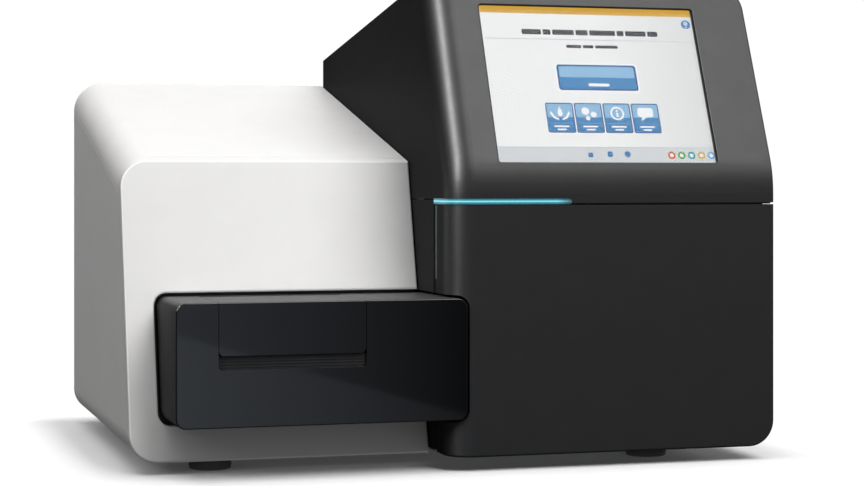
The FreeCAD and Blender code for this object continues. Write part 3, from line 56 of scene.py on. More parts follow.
# light
WORLD_STRENGTH = 0.13
BACKDROP_STRENGTH = 1.02
FLOOR_RADIUS = 24.0
FLOOR_FADE = (0.022, 0.062)     # the floor's shade fades out this far from the object
DOME_RADIUS = 22.0
ROOM_RADIUS = 19.0
CARD_Y = -0.75                  # reflector card in front of the pod
CARD_X = (-0.235, 0.145)
CARD_Z = (0.0, 0.14)
CARD_EDGE = 0.03
CARD_SLOPE = 0.295
CARD_LINE = 0.045

# sizes of the CAD part that the details go by, in mm
GLASS_BORDER = 6.0              # the glass runs this far past its opening
GASKET_WIDE = 1.6
GASKET_DEPTH = (2.9 * MM, 3.5 * MM)
NECK_RADIUS = 17.0
TUBE_RADIUS = 3.0
NEEDLE_RADIUS = 1.2
NEEDLE_REACH = 48.0
MANIFOLD_THICKNESS = 12.0
WELL_START = (14, 41)           # first well from the cartridge's low corner
WELL_PITCH = (12, 30)
SLEEVE_FROM_FRONT = 7.0
BOARD_TOP = 8.0
SYRINGE_RADIUS = 11.0
CHAMBER_DOORWAY = (28.0, 124.0, 44.0, 118.0)
KNOB_PLACE = (118.0, 81.0)
PORT_RECESSES = ((2.8, 14.0), (20.8, 14.0), (38.8, 13.0), (55.8, 13.0))
PLUG_FRAME = (234.0, 274.0, 51.0, 117.0)
PLATE_PLACE = (110.0, 180.0, 72.0, 112.0)
VENT_MESH = (104.0, 246.0, 86.0, 194.0)
MESH_PITCH = 3.2
MESH_WIRE = 0.6

# screws and fittings, as (radius, height) points in mm
FAN_SCREW = [(4.6, 0), (4.6, 0.6), (3.4, 0.6), (3.2, 1.6), (1.8, 2.2), (0, 2.3)]
INLET_SCREW = [(2.6, 0), (2.6, 0.4), (1.6, 1.0), (0, 1.2)]
MOTOR_SCREW = [(1.8, 0), (1.8, 1.2), (0, 1.5)]
RIVET = [(1.6, 0.4), (1.4, 0.9), (0, 1.3)]
LINK_LIGHT = [(0.9, 0), (0.9, 0.3), (0.5, 0.6), (0, 0.7)]
MANIFOLD_SCREW = [(3.0, 0), (3.0, 1.6), (2.6, 2.0), (1.4, 2.0), (1.4, 1.0), (0, 1.0)]
STAGE_SCREW = [(3.2, 0), (3.2, 2.0), (2.8, 2.4), (1.6, 2.4), (1.6, 1.0), (0, 1.0)]
BARBED_FITTING = [(3.2, 0), (3.2, 3), (2.0, 3.4), (2.0, 5), (1.5, 6.4), (0, 6.4)]
SYRINGE_FITTING = [(12.2, 210.0), (12.2, 215.0), (5.0, 216.0), (5.0, 221.0),
                   (2.2, 222.0), (2.2, 227.0), (0, 227.0)]
KNOB_CAP = [(5.6, -0.1), (5.6, 0.5), (4.6, 0.9), (0, 1.0)]
CAPACITOR = [(4.0, 0), (4.0, 9.0), (3.4, 9.6), (0, 9.6)]
FRONT_LENS = [(5.5, 0.1), (5.2, -0.5), (3.5, -1.0), (0, -1.2)]


# ---- shader tools
def srgb(red, green, blue):
    """Linear colour of an 8 bit screen colour."""
    values = [v / 255 for v in (red, green, blue)]
    return (*(v / 12.92 if v <= 0.04045 else ((v + 0.055) / 1.055) ** 2.4 for v in values), 1.0)


def scaled(colour, factor):
    return (*(min(1.0, c * factor) for c in colour[:3]), 1.0)


class Shader:
    """A material's node tree under construction."""

    def __init__(self, material):
        if isinstance(material, str):
            material = bpy.data.materials.new(material)
            material.use_nodes = True
        self.material = material
        self.nodes = material.node_tree.nodes
        self.surface = self.nodes["Principled BSDF"]
        self.place = self.add("ShaderNodeTexCoord").outputs["Object"]

    def feed(self, socket, value):
        """Links an input to another node's output, or sets its value."""
        if isinstance(value, bpy.types.NodeSocket):
            self.material.node_tree.links.new(value, socket)
        else:
            socket.default_value = value

    def feed_named(self, node, values):
        for name, value in values.items():
            self.feed(node.inputs[name.replace("_", " ")], value)

    def add(self, kind, *sockets, **values):
        """A new node: its first inputs in their order, then the others by name."""
        made = self.nodes.new(kind)
        for name in [n for n in values if hasattr(made, n)]:
            setattr(made, name, values.pop(name))
        self.feed_named(made, values)
        for socket, value in zip(made.inputs, sockets):
            self.feed(socket, value)
        return made

    def dress(self, **values):
        """Sets inputs of the principled surface."""
        self.feed_named(self.surface, values)

    def show(self, result):
        """Makes a shader the material's surface and returns the material."""
        self.feed(self.nodes["Material Output"].inputs["Surface"], result)
        return self.material

    def math(self, operation, *values):
        return self.add("ShaderNodeMath", *values, operation=operation).outputs[0]

    def vector(self, operation, *values):
        return self.add("ShaderNodeVectorMath", *values, operation=operation).outputs[0]

    def mixed(self, factor, first, second):
        return self.add("ShaderNodeMixShader", factor, first, second).outputs[0]

    def emission(self, strength, colour=WHITE):
        return self.add("ShaderNodeEmission", Color=colour, Strength=strength).outputs[0]

    def noise(self, scale, stretch=(1, 1, 1), detail=3.0):
        mapping = self.add("ShaderNodeMapping", Vector=self.place, Scale=stretch)
        return self.add("ShaderNodeTexNoise", Vector=mapping.outputs["Vector"], Scale=scale,
                        Detail=detail).outputs["Fac"]

    def spread(self, source, low, high, start=0.3, end=0.7):
        """Maps a factor from start..end to low..high."""
        return self.add("ShaderNodeMapRange", Value=source, From_Min=start, From_Max=end,
                        To_Min=low, To_Max=high).outputs["Result"]

    def varied(self, scale, low, high, detail=3.0):
        """A value that noise varies from low to high."""
        return self.spread(self.noise(scale, detail=detail), low, high)

    def blend(self, factor, first, second):
        """A colour between two colours or sockets."""
        mix = self.add("ShaderNodeMix", data_type="RGBA")
        for index, value in ((0, factor), (6, first), (7, second)):
            self.feed(mix.inputs[index], value)
        return mix.outputs[2]

    def relief(self, height, strength, distance):
        return self.add("ShaderNodeBump", Strength=strength, Distance=distance,
                        Height=height).outputs["Normal"]

    def axis(self, vector, name):
        return self.add("ShaderNodeSeparateXYZ", Vector=vector).outputs[name]

    def along(self, name, low, high):
        """0 at low to 1 at high along one axis of the object."""
        return self.spread(self.axis(self.place, name), 0.0, 1.0, low, high)


def finish(name, colour, roughness, metallic=0.0, patch=25.0, tone=0.07, wear=0.06, grain=0.0,
           grain_scale=2200.0, stretch=(1, 1, 1), depth=0.0003, **inputs):
    """A surface whose colour, gloss and relief vary by noise."""
    shader = Shader(name)
    patches = shader.varied(patch, 0, 1)
    shader.dress(
        Base_Color=shader.blend(patches, scaled(colour, 1 - tone), scaled(colour, 1 + tone)),
        Roughness=shader.varied(patch * 3.1, roughness - wear, roughness + wear, detail=5.0),
        Metallic=metallic, **inputs)
    if grain > 0:
        height = shader.noise(grain_scale, stretch, detail=2.0)
        shader.dress(Normal=shader.relief(height, grain, depth))
    return shader.material


def satin(name, colour, roughness, share, gloss_front=None, top_share=0.0, edge_share=1.0,
          **details):
    """A moulded satin surface: a small share of soft gloss that fades at a low angle.

    Faces that look up get top_share more, and edge_share is what is left of the gloss at a low
    angle. With gloss_front the surface in front of that y is polished instead."""
    shader = Shader(finish(name, colour, roughness, Specular_IOR_Level=0.0, **details))
    shared = {"Color": WHITE}
    for key in ("Roughness", "Normal"):
        if shader.surface.inputs[key].is_linked:
            shared[key] = shader.surface.inputs[key].links[0].from_socket
    gloss = shader.add("ShaderNodeBsdfGlossy", **shared)
    level = shader.axis(shader.add("ShaderNodeTexCoord").outputs["Normal"], "Z")
    total = shader.math("ADD", shader.varied(35.0, share * 0.95, share * 1.05),
                        shader.spread(level, 0.0, top_share, 0.6, 1.0))
    edge = shader.add("ShaderNodeLayerWeight").outputs["Facing"]
    part = shader.math("MULTIPLY", total, shader.spread(edge, 1.0, edge_share, 0.50, 0.80))
    mix = shader.mixed(part, shader.surface.outputs[0], gloss.outputs[0])
    if gloss_front is not None:
        mix = polished(shader, mix, colour, gloss_front)
    return shader.show(mix)


def polished(shader, mix, colour, front_y):
    """A polished front layer before a satin shader, up to 1 mm behind front_y."""
    front = shader.add("ShaderNodeBsdfPrincipled", Base_Color=colour,
                       Roughness=shader.varied(40.0, 0.045, 0.075, detail=5.0))
    behind = shader.along("Y", front_y + 0.8 * MM, front_y + 1.2 * MM)
    return shader.mixed(behind, front.outputs[0], mix)


def glowing(name, colour, strength, axis, low, high, fall=0.85):
    """A lit display colour, a little dimmer towards one end, under a satin front."""
    shader = Shader(name)
    base = shader.blend(shader.along(axis, low, high), scaled(colour, fall), colour)
    pixels = shader.varied(900.0, 0, 0.12, detail=1.0)
    shader.dress(Emission_Color=shader.blend(pixels, base, scaled(colour, 0.6)),
                 Emission_Strength=strength, Base_Color=(0.01, 0.01, 0.01, 1),
                 Roughness=0.5, Specular_IOR_Level=0.2)
    return shader.material


def clear_glass(name, tint, gloss_roughness):
    """A thin coated cover glass: see-through, with a weak Fresnel gloss."""
    shader = Shader(name)
    through = shader.add("ShaderNodeBsdfTransparent", Color=tint)
    smudge = shader.varied(60.0, gloss_roughness, gloss_roughness * 2.5, detail=6.0)
    gloss = shader.add("ShaderNodeBsdfGlossy", Roughness=smudge)
    fresnel = shader.add("ShaderNodeFresnel", IOR=1.12)
    return shader.show(shader.mixed(fresnel.outputs[0], through.outputs[0], gloss.outputs[0]))


def status_glow():
    """The light guide: a bright core along its middle that fades out towards its right end."""
    low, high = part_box("status_light_bar")
    shader = Shader("status_glow")
    ramp = shader.add("ShaderNodeValToRGB", Fac=shader.along("Z", low.z, high.z))
    edge, middle, core = srgb(14, 84, 96), srgb(26, 132, 150), srgb(128, 232, 245)
    elements = ramp.color_ramp.elements
    elements[0].color = elements[1].color = edge
    for position, colour in ((0.32, middle), (0.48, core), (0.57, core), (0.73, middle)):
        elements.new(position).color = colour
    reach = shader.along("X", high.x, low.x)
    shader.dress(Emission_Color=ramp.outputs["Color"],
                 Emission_Strength=shader.spread(reach, 0.1, 1.0, 0.0, 0.12),
                 Roughness=shader.varied(300.0, 0.2, 0.4), Base_Color=srgb(60, 75, 80))
    return shader.material


def seam_glow(low_z, high_z):
    """A painted faint cool glow that grows towards the light bar."""
    shader = Shader("seam_glow")
    rise = shader.along("Z", low_z, high_z)
    shade = shader.blend(rise, srgb(38, 44, 46), srgb(50, 66, 69))
    shader.dress(
        Emission_Color=shader.blend(shader.varied(260.0, 0, 0.2), shade, srgb(30, 34, 36)),
        Emission_Strength=0.4, Base_Color=srgb(30, 34, 35), Roughness=0.4)
    return shader.material


def threaded(name, colour, axis, pitch):
    """Ground steel with a screw thread's rings across one axis, as a bump."""
    shader = Shader(name)
    # a wave texture of scale 0.314 has one ring to a metre
    wave = shader.add("ShaderNodeTexWave", bands_direction=axis, Scale=0.314 / pitch,
                      Distortion=0.0, Vector=shader.place)
    shader.dress(Normal=shader.relief(wave.outputs["Fac"], 1.0, 0.0008),
                 Base_Color=shader.blend(shader.noise(300.0), scaled(colour, 0.8), colour),
                 Metallic=1.0, Roughness=0.25)
    return shader.material


def brushed(name, colour, roughness, stretch):
    """Metal with fine brush lines across the stretched axis."""
    return finish(name, colour, roughness, metallic=1.0, patch=18.0, tone=0.04, wear=0.03,
                  grain=0.2, grain_scale=900.0, stretch=stretch, depth=0.0002)


def make_finishes():
    """One procedural finish for each material slot of the record."""
    slots = {
        "white_cover": finish("white_paint", srgb(242, 241, 240), 0.42, tone=0.012, wear=0.05,
                              grain=0.05, grain_scale=1500.0),
        "charcoal_cover": satin("charcoal_grain", srgb(37, 37, 38), 0.40, 0.030, edge_share=0.3,
                                patch=60.0, tone=0.015, wear=0.02, grain=0.12,
                                grain_scale=1500.0),
        "black_shell": satin("black_satin_plastic", srgb(22, 22, 23), 0.34, 0.065, None, 0.14,
                             patch=60.0, tone=0.05, wear=0.03, grain=0.05),
        "black_glass": satin("black_gloss_front", srgb(12, 12, 13), 0.34, 0.065,
                             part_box("pod_front_glass")[0].y, 0.14, patch=60.0, tone=0.05,
                             wear=0.03),
        "screen_glass": clear_glass("screen_glass", (0.97, 0.98, 0.98, 1), 0.03),
        "display": glowing("display_back", srgb(240, 239, 239), 0.97, "X", 0.30, 0.16, 0.80),
        "status_light": status_glow(),
        "sheet_steel": brushed("zinc_sheet", srgb(190, 193, 196), 0.36, (1, 1, 12)),
        "machined_aluminium": brushed("machined_aluminium", srgb(205, 207, 210), 0.28,
                                      (14, 1, 1)),
        "black_anodised": finish("black_anodised", srgb(34, 35, 38), 0.42, metallic=0.6,
                                 patch=60.0, tone=0.03, wear=0.02, grain=0.1,
                                 grain_scale=3000.0),
        "steel_shaft": brushed("ground_steel", srgb(200, 201, 203), 0.18, (1, 1, 1)),
        "chrome_pin": finish("chrome", srgb(225, 226, 228), 0.08, metallic=1.0, wear=0.03),
        # a lighter grey than the black rubber: painted light in place of the floor's bounce light on
        # the feet
        "foot_rubber": finish("foot_rubber", srgb(82, 82, 82), 0.75, grain=0.3,
                              grain_scale=900.0),
        "bay_plastic": finish("bay_plastic", srgb(176, 180, 184), 0.5, tone=0.03, grain=0.12,
                              grain_scale=1100.0),
        "grey_plastic": finish("grey_plastic", srgb(120, 124, 130), 0.45, grain=0.1),
        "clear_plastic": finish("clear_plastic", srgb(228, 233, 236), 0.2, tone=0.02, wear=0.02,
                                Transmission_Weight=0.55, IOR=1.49),
        "bottle_plastic": finish("bottle_plastic", srgb(236, 238, 236), 0.34, tone=0.015,
                                 wear=0.02, Transmission_Weight=0.4, IOR=1.5),
        "blue_plastic": finish("blue_plastic", srgb(28, 92, 160), 0.4, grain=0.08),
        "circuit_green": finish("circuit_mask", srgb(18, 84, 52), 0.35, tone=0.25, patch=160.0),
        "black_plastic": finish("black_plastic", srgb(28, 28, 29), 0.5, grain=0.15),
        "screw_steel": finish("screw_steel", srgb(150, 152, 155), 0.3, metallic=1.0),
    }
    for slot, material in slots.items():
        material["slot"] = slot
    return slots


def dress_nodes():
    """Gives every CAD node the finish of its slot, or its own finish."""
    dressed = {part["node"]: slots[part["material_slot"]] for part in frame["record"]["subparts"]}
    for name, axis in (("stage_lead_screw", "Y"), ("manifold_lead_screw", "Z")):
        dressed[name] = threaded(name + "_thread", srgb(196, 198, 200), axis, 3 * MM)
    dressed["finger_grip"] = satin("grip_texture", srgb(24, 24, 25), 0.5, 0.03, grain=0.5,
                                   grain_scale=700.0)
    for name, material in dressed.items():
        materials = node(name).data.materials
        materials.clear()
        materials.append(material)


# ---- mesh tools
def link_object(name, data):
    made = bpy.data.objects.new(name, data)
    bpy.context.scene.collection.objects.link(made)
    return made


def mesh_object(name, bm, material):
    mesh = bpy.data.meshes.new(name)
    bm.to_mesh(mesh)
    bm.free()
    mesh.materials.append(material)
    return link_object(name, mesh)


@contextmanager
def piece(name, material, body="chassis"):
    """A mesh for the add functions to fill, which becomes a piece that rides on a body.

    The material is a slot's name or a finish of its own."""
    bm = bmesh.new()
    yield bm
    material = slots.get(material, material)
    bmesh.ops.recalc_face_normals(bm, faces=bm.faces)
    made = mesh_object(name, bm, material)
    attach(made, body)


def bridge(bm, first, second):
    """Faces between two loops with the same number of points."""
    for i in range(len(first)):
        j = (i + 1) % len(first)
        bm.faces.new((first[i], first[j], second[j], second[i]))


def add_plate(bm, outline, place, low, high):
    """A closed thin plate over a 2D outline; place(a, b, depth) gives the point."""
    lower, upper = ([bm.verts.new(place(a, b, depth)) for a, b in outline]
                    for depth in (low, high))
    bm.faces.new(lower)
    bm.faces.new(list(reversed(upper)))
    bridge(bm, upper, lower)


def add_ring(bm, inner, outer, place, low, high):
    """A closed ring plate between two outlines with the same number of points."""
    loops = []
    for outline, depth in ((outer, low), (outer, high), (inner, high), (inner, low)):
        loops.append([bm.verts.new(place(a, b, depth)) for a, b in outline])
    for k in range(4):
        bridge(bm, loops[k], loops[(k + 1) % 4])


def polar(cx, cy, radius, angle):
    return cx + radius * math.cos(angle), cy + radius * math.sin(angle)


def rounded(x0, x1, y0, y1, radius, inset=0.0, steps=5):
    """Outline of a rectangle, moved in by inset, with round corners."""
    x0, x1, y0, y1 = x0 + inset, x1 - inset, y0 + inset, y1 - inset
    centres = ((x1 - radius, y1 - radius, 0), (x0 + radius, y1 - radius, 90),
               (x0 + radius, y0 + radius, 180), (x1 - radius, y0 + radius, 270))
    return [polar(cx, cy, radius, math.radians(start + 90 * i / steps))
            for cx, cy, start in centres for i in range(steps + 1)]


def rectangle(x0, x1, y0, y1):
    return [(x0, y0), (x1, y0), (x1, y1), (x0, y1)]


def corners(x0, x1, y0, y1, inset=0.0):
    """A rectangle's four corners, moved in by inset."""
    return [(x, y) for x in (x0 + inset, x1 - inset) for y in (y0 + inset, y1 - inset)]


def disc(cx, cy, radius, count=20):
    return [polar(cx, cy, radius, 2 * math.pi * i / count) for i in range(count)]


def circle_ring(cx, cy, inner, outer, count):
    return disc(cx, cy, inner, count), disc(cx, cy, outer, count)


def oriented(origin, axis):
    """A frame at origin (mm) whose local Z runs along axis."""
    turn = Vector(axis).to_track_quat("Z", "Y").to_matrix().to_4x4()
    return Matrix.Translation(Vector(origin) * MM) @ turn


def upright(x, y, z):
    return oriented((x, y, z), (0, 0, 1))


def backward(x, y, z):
    return oriented((x, y, z), (0, 1, 0))


def add_lathe(bm, profile, base, steps=28, closed=False):
    """Turns (radius, height) points in mm round the base's Z; closed makes a ring."""
    rings = []
    for radius, height in profile:
        count = steps if radius > 0 else 1
        points = (polar(0, 0, radius, 2 * math.pi * i / steps) for i in range(count))
        rings.append([bm.verts.new(base @ (Vector((x, y, height)) * MM)) for x, y in points])
    pairs = list(zip(rings, rings[1:]))
    if closed:
        pairs.append((rings[-1], rings[0]))
    for lower, upper in pairs:
        for i in range(steps):
            j = (i + 1) % steps
            quad = [lower[i % len(lower)], lower[j % len(lower)],
                    upper[j % len(upper)], upper[i % len(upper)]]
            distinct = list(dict.fromkeys(quad))
            if len(distinct) > 2:
                bm.faces.new(distinct)
    if not closed:
        for ring in (rings[0], rings[-1]):
            if len(ring) > 1:
                bm.faces.new(ring)


def lathe_piece(name, material, profile, bases, steps=28, body="chassis"):
    """A piece with the same turned shape at each base."""
    with piece(name, material, body) as bm:
        for base in bases:
            add_lathe(bm, profile, base, steps)


def add_band(bm, inner, outer, low, high, base, steps=28):
    """A flat-sided ring between two radii and two heights."""
    profile = [(inner, low), (outer, low), (outer, high), (inner, high)]
    add_lathe(bm, profile, base, steps, closed=True)


def add_wrap(bm, inner, outer, half, steps, place, low, high):
    """A thin plate bent round the front of an upright cylinder, half degrees to each side."""
    reach = math.radians(half)
    arc = [math.radians(270) - reach + 2 * reach * n / steps for n in range(steps + 1)]
    outline = [polar(0, 0, outer, a) for a in arc] + [polar(0, 0, inner, a) for a in reversed(arc)]
    add_plate(bm, outline, place, low, high)


def add_pipe(bm, points, radius, steps=8):
    """A round bar along points in mm."""
    path = [Vector(p) * MM for p in points]
    side = None
    rings = []
    for i, point in enumerate(path):
        ahead = path[min(i + 1, len(path) - 1)] - path[max(i - 1, 0)]
        ahead.normalize()
        if side is None:
            side = ahead.orthogonal().normalized()
        side = (side - ahead * side.dot(ahead)).normalized()
        other = ahead.cross(side)
        ring = []
        for k in range(steps):
            angle = 2 * math.pi * k / steps
            reach = side * math.cos(angle) + other * math.sin(angle)
            ring.append(bm.verts.new(point + reach * radius * MM))
        rings.append(ring)
    for first, second in zip(rings, rings[1:]):
        bridge(bm, first, second)
    bm.faces.new(rings[0])
    bm.faces.new(rings[-1])


def add_block(bm, low, high, bevel=0.4):
    """A block between two corners in mm, with its edges rounded."""
    low, high = Vector(low) * MM, Vector(high) * MM
    place = Matrix.Translation((low + high) / 2) @ Matrix.Diagonal((*(high - low), 1))
    made = bmesh.ops.create_cube(bm, size=1.0, matrix=place)
    edges = list({e for v in made["verts"] for e in v.link_edges})
    bmesh.ops.bevel(bm, geom=edges, offset=bevel * MM, segments=2, profile=0.5,
                    affect="EDGES", clamp_overlap=True)


def facing(axis, x=0, y=0, z=0):
    """The place function of a plate whose thickness runs along an axis; all in mm."""
    order = {"X": (2, 0, 1), "Y": (0, 2, 1), "Z": (0, 1, 2)}[axis]
    return lambda *point: Vector([(start + point[k]) * MM for start, k in zip((x, y, z), order)])


def node(name):
    return frame["nodes"][name]


def box_mm(name):
    """A node's two box corners in mm."""
    return tuple(Vector(corner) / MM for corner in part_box(name))


def solids_of(name):
    """The boxes, in mm, of a node's separate solids, sorted by their low corners."""
    mesh = node(name).data
    keys = [tuple(round(c, 6) for c in v.co) for v in mesh.vertices]
    home = {key: key for key in keys}

    def root(key):
        while home[key] != key:
            home[key] = home[home[key]]
            key = home[key]
        return key

    for face in mesh.polygons:
        first = root(keys[face.vertices[0]])
        for index in face.vertices[1:]:
            home[root(keys[index])] = first
    groups = {}
    for key in home:
        groups.setdefault(root(key), []).append(key)
    boxes = [tuple(Vector([pick(p[i] for p in points) / MM for i in range(3)])
                   for pick in (min, max)) for points in groups.values()]
    return sorted(boxes, key=lambda b: tuple(round(c, 2) for c in b[0]))


# ---- screen contents
SCREEN_LAYER = 0.04 * MM
SCREEN_FOOT = 10.95             # h at the low edge of the module's front
COLOURS = {
    "gold": srgb(212, 163, 62),
    "silver": srgb(219, 221, 224),
    "rule": srgb(204, 207, 211),
    "ink": srgb(48, 50, 56),
    "halo": srgb(250, 251, 253),
    "navy": srgb(24, 64, 132),
    "blue": srgb(54, 136, 197),
    "sky": srgb(140, 184, 219),
    "white": srgb(250, 250, 252),
    "help": srgb(44, 120, 182),
    "orange": srgb(226, 98, 52),
    "green": srgb(92, 168, 74),
    "teal": srgb(60, 160, 168),
    "amber": srgb(222, 176, 60),
    "pale": srgb(122, 176, 224),
}
FALL = 0.85                     # brightness left at the low end
FALLS = {"gold": 0.9, "blue": 0.7, "sky": 0.9}
BAR_X = (25.5, 286)
SCREEN_BLOCKS = (               # name, colour, layer, sides and corner radius
    ("title_bar", "gold", 1, *BAR_X, 192.6, 206, 0.3),
    ("foot_bar", "silver", 1, *BAR_X, 11.5, 33.5, 0.3),
    ("button_halo", "halo", 1, 110.5, 206.5, 98.8, 133.6, 5),
    ("button_frame", "navy", 2, 112.8, 204.2, 101.2, 131.6, 3.2),
    ("button_body", "blue", 3, 114.4, 202.6, 102.8, 130.2, 2.4),
    ("button_gloss", "sky", 4, 115.4, 201.6, 116.5, 129.4, 2.0),
    ("button_mark", "white", 5, 147.0, 171.0, 106.0, 109.4, 1.0),
)
TILE_LEFT = 93.6
TILE_PITCH = 32.7
TILE_WIDE = 31.4
TILE_H = (51.0, 86.0)
GLOSS_LOW = 69.0
HELP_X = 272.8
STATUS_H = 25.2
STATUS_RINGS = {"orange": 230.2, "green": 241.7, "teal": 253.2, "amber": 264.8, "pale": 276.3}


class Display:
    """The front plane of the display module: x across and h up, in millimetres."""

    def __init__(self, module):
        # the large face that looks forwards and upwards
        face = max((p for p in module.data.polygons if p.normal.y < -0.5), key=lambda p: p.area)
        corner = min((module.data.vertices[i].co for i in face.vertices), key=lambda c: c.z)
        self.normal = face.normal.copy()
        self.up = Vector((0, self.normal.z, -self.normal.y))
        self.start = Vector((0, corner.y, corner.z))
        self.ends = [corner.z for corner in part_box("lcd_module")]
        self.shades = {}

    def at(self, x, h, depth):
        across = Vector((x * MM, 0, 0))
        return self.start + across + self.up * ((h - SCREEN_FOOT) * MM) + self.normal * depth

    def shade(self, colour):
        if colour not in self.shades:
            made = glowing("display_" + colour, COLOURS[colour], 1.0, "Z", *self.ends,
                           FALLS.get(colour, FALL))
            made["slot"] = "display"
            self.shades[colour] = made
        return self.shades[colour]

    def draw(self, name, colour, shapes, layer):
        """Plates over outlines, and rings between pairs of outlines, in one colour."""
        low, high = layer * SCREEN_LAYER, (layer + 0.8) * SCREEN_LAYER
        with piece("screen_" + name, self.shade(colour)) as bm:
            for shape in shapes:
                if isinstance(shape[0][0], tuple):
                    add_ring(bm, *shape, self.at, low, high)
                else:
                    add_plate(bm, shape, self.at, low, high)


def word_blocks(x, widths, gap, low, high, radius):
    """A line of plain blocks in place of words."""
    blocks = []
    for wide in widths:
        blocks.append(rounded(x, x + wide, low, high, radius))
        x += wide + gap
    return blocks


def make_screen_contents():
    for name, colour, layer, *shape in SCREEN_BLOCKS:
        display.draw(name, colour, [rounded(*shape)], layer)
    display.draw("rules", "rule", [rounded(36.0, 284.5, 161.2, 162.4, 0.3),
                                   rounded(*BAR_X, 33.5, 34.6, 0.2)], 2)
    heading = word_blocks(79.0, (22, 9, 25, 14, 30, 8, 24, 12), 2.0, 167.4, 173.6, 1.2)
    display.draw("heading", "ink", heading, 2)
    display.draw("subtitle", "ink", word_blocks(128.0, (17, 12, 26), 2.2, 151.8, 155.4, 0.8), 2)
    make_tiles()
    make_small_icons()


def make_tiles():
    """Four tiles with simple pictures, a thin divider and two word blocks each."""
    frames, bodies, glosses, marks, lines = [], [], [], [], []
    for i in range(4):
        x0 = TILE_LEFT + TILE_PITCH * i
        x1 = x0 + TILE_WIDE
        frames.append(rounded(x0, x1, *TILE_H, 2.4))
        bodies.append(rounded(x0, x1, *TILE_H, 1.8, 0.8))
        glosses.append(rounded(x0 + 1.4, x1 - 1.4, GLOSS_LOW, TILE_H[1] - 1.4, 1.6))
        lines.append(rounded(x0 + 2.5, x1 - 2.5, 61.6, 62.3, 0.2))
        middle = (x0 + x1) / 2
        for wide, h in ((17.0, 57.4), (10.0, 53.8)):
            marks.append(rounded(middle - wide / 2, middle + wide / 2, h, h + 1.9, 0.6))
        marks.extend(tile_picture(i, middle, 74.0))
    display.draw("tile_frames", "navy", frames, 2)
    display.draw("tile_bodies", "blue", bodies, 3)
    display.draw("tile_gloss", "sky", glosses, 4)
    display.draw("tile_lines", "pale", lines, 5)
    display.draw("tile_marks", "white", marks, 5)


def tile_picture(kind, x, h):
    """The white picture of one tile."""
    if kind == 0:
        # a drop over two cupped lines
        drop = []
        for i in range(18):
            angle = 2 * math.pi * i / 18
            swell = 4.0 * math.sin(angle / 2) ** 1.5
            drop.append((x + swell * math.sin(angle), h + 2 + 6 * math.cos(angle)))
        cup = ((10, 2), (11.5, 0), (8, -6), (2, -8.5), (2, -6.5), (6.5, -4))
        return [drop] + [[(x + side * a, h + b) for a, b in cup] for side in (-1, 1)]
    if kind == 1:
        return [gear(x - 3.5, h + 2.5, 5.0, 9), gear(x + 5.5, h - 1.5, 3.8, 8),
                gear(x - 1.5, h - 6.0, 2.8, 8)]
    if kind == 2:
        return [circle_ring(x, h, 6.0, 8.0, 24), disc(x, h + 3.2, 1.3, 10),
                rounded(x - 1.0, x + 1.0, h - 4.4, h + 1.0, 0.5)]
    bubble = rounded(x - 9, x + 9, h - 4, h + 7, 3.0)
    tail = [(x - 4, h - 3.5), (x - 6, h - 9), (x + 2, h - 3.5)]
    return [bubble, tail]


def gear(cx, cy, radius, teeth):
    count = teeth * 4
    return [polar(cx, cy, radius * (1.0 if i % 4 < 2 else 0.78), 2 * math.pi * i / count)
            for i in range(count)]


def make_small_icons():
    """The help disc, three small icons and five status rings."""
    display.draw("help_disc", "help", [disc(HELP_X, 183.3, 5.4, 28)], 2)
    display.draw("help_mark", "white", [disc(HELP_X, 179.9, 0.9, 10),
                                        circle_ring(HELP_X, 184.6, 1.2, 2.3, 16)], 3)
    display.draw("icon_blocks", "help", [
        rounded(134.5, 140.0, 22.5, 28.0, 0.8), rounded(156.5, 162.5, 23.0, 29.5, 2.2),
        gear(179.5, 26.3, 4.0, 8),
    ], 2)
    edge = (132.2, 144.8, 19.6, 31.0)
    display.draw("icon_rings", "rule", [(rounded(*edge, 1.6, 1.0), rounded(*edge, 2.2))], 2)
    for name, x in STATUS_RINGS.items():
        display.draw("ring_" + name, name, [circle_ring(x, STATUS_H, 2.3, 4.5, 24)], 2)
    centres = [disc(x, STATUS_H, 2.0, 16) for x in STATUS_RINGS.values()]
    display.draw("ring_centres", "white", centres, 2)


# ---- front details
def make_front_details():
    # the screen's gasket: a thin dark ring on the glass along the opening's edge
    low, high = box_mm("touch_glass")
    top = SCREEN_FOOT + (high.z - low.z) / display.up.z - 2.6
    opening = (low.x + GLASS_BORDER, high.x - GLASS_BORDER, SCREEN_FOOT + 2.0, top)
    with piece("screen_gasket", "black_plastic") as bm:
        add_ring(bm, rounded(*opening, 2.5, GASKET_WIDE), rounded(*opening, 3.5, -1.5),
                 display.at, *GASKET_DEPTH)
    # a strip in the recess below the light bar, painted with a cool glow that grows towards the bar
    panel, bar = box_mm("tower_left_panel"), box_mm("status_light_bar")
    door, pod = box_mm("reagent_door"), box_mm("pod_housing")
    outline = rounded(panel[0].y + 1.0, bar[1].y - 0.6, pod[1].z + 6, bar[0].z - 1.5, 1.0)
    with piece("seam_glow_strip", seam_glow(pod[1].z * MM, bar[0].z * MM)) as bm:
        add_plate(bm, outline, facing("X", door[0].x + 1.4), 0.0, 0.5)
    # ridges of the rubber feet
    with piece("foot_ridges", "foot_rubber") as bm:
        for low, high in solids_of("feet"):
            middle = (low + high) / 2
            radius = (high.x - low.x) / 2
            for z in (4.0, 7.0, 10.0):
                add_band(bm, radius - 1.0, radius + 0.5, z, z + 1.2,
                         upright(middle.x, middle.y, 0), 40)


# ---- rear details
def cross(radius, arm):
    """Outline of a cross recess."""
    return [(arm, arm), (arm, radius), (-arm, radius), (-arm, arm), (-radius, arm),
            (-radius, -arm), (-arm, -arm), (-arm, -radius), (arm, -radius), (arm, -arm),
            (radius, -arm), (radius, arm)]


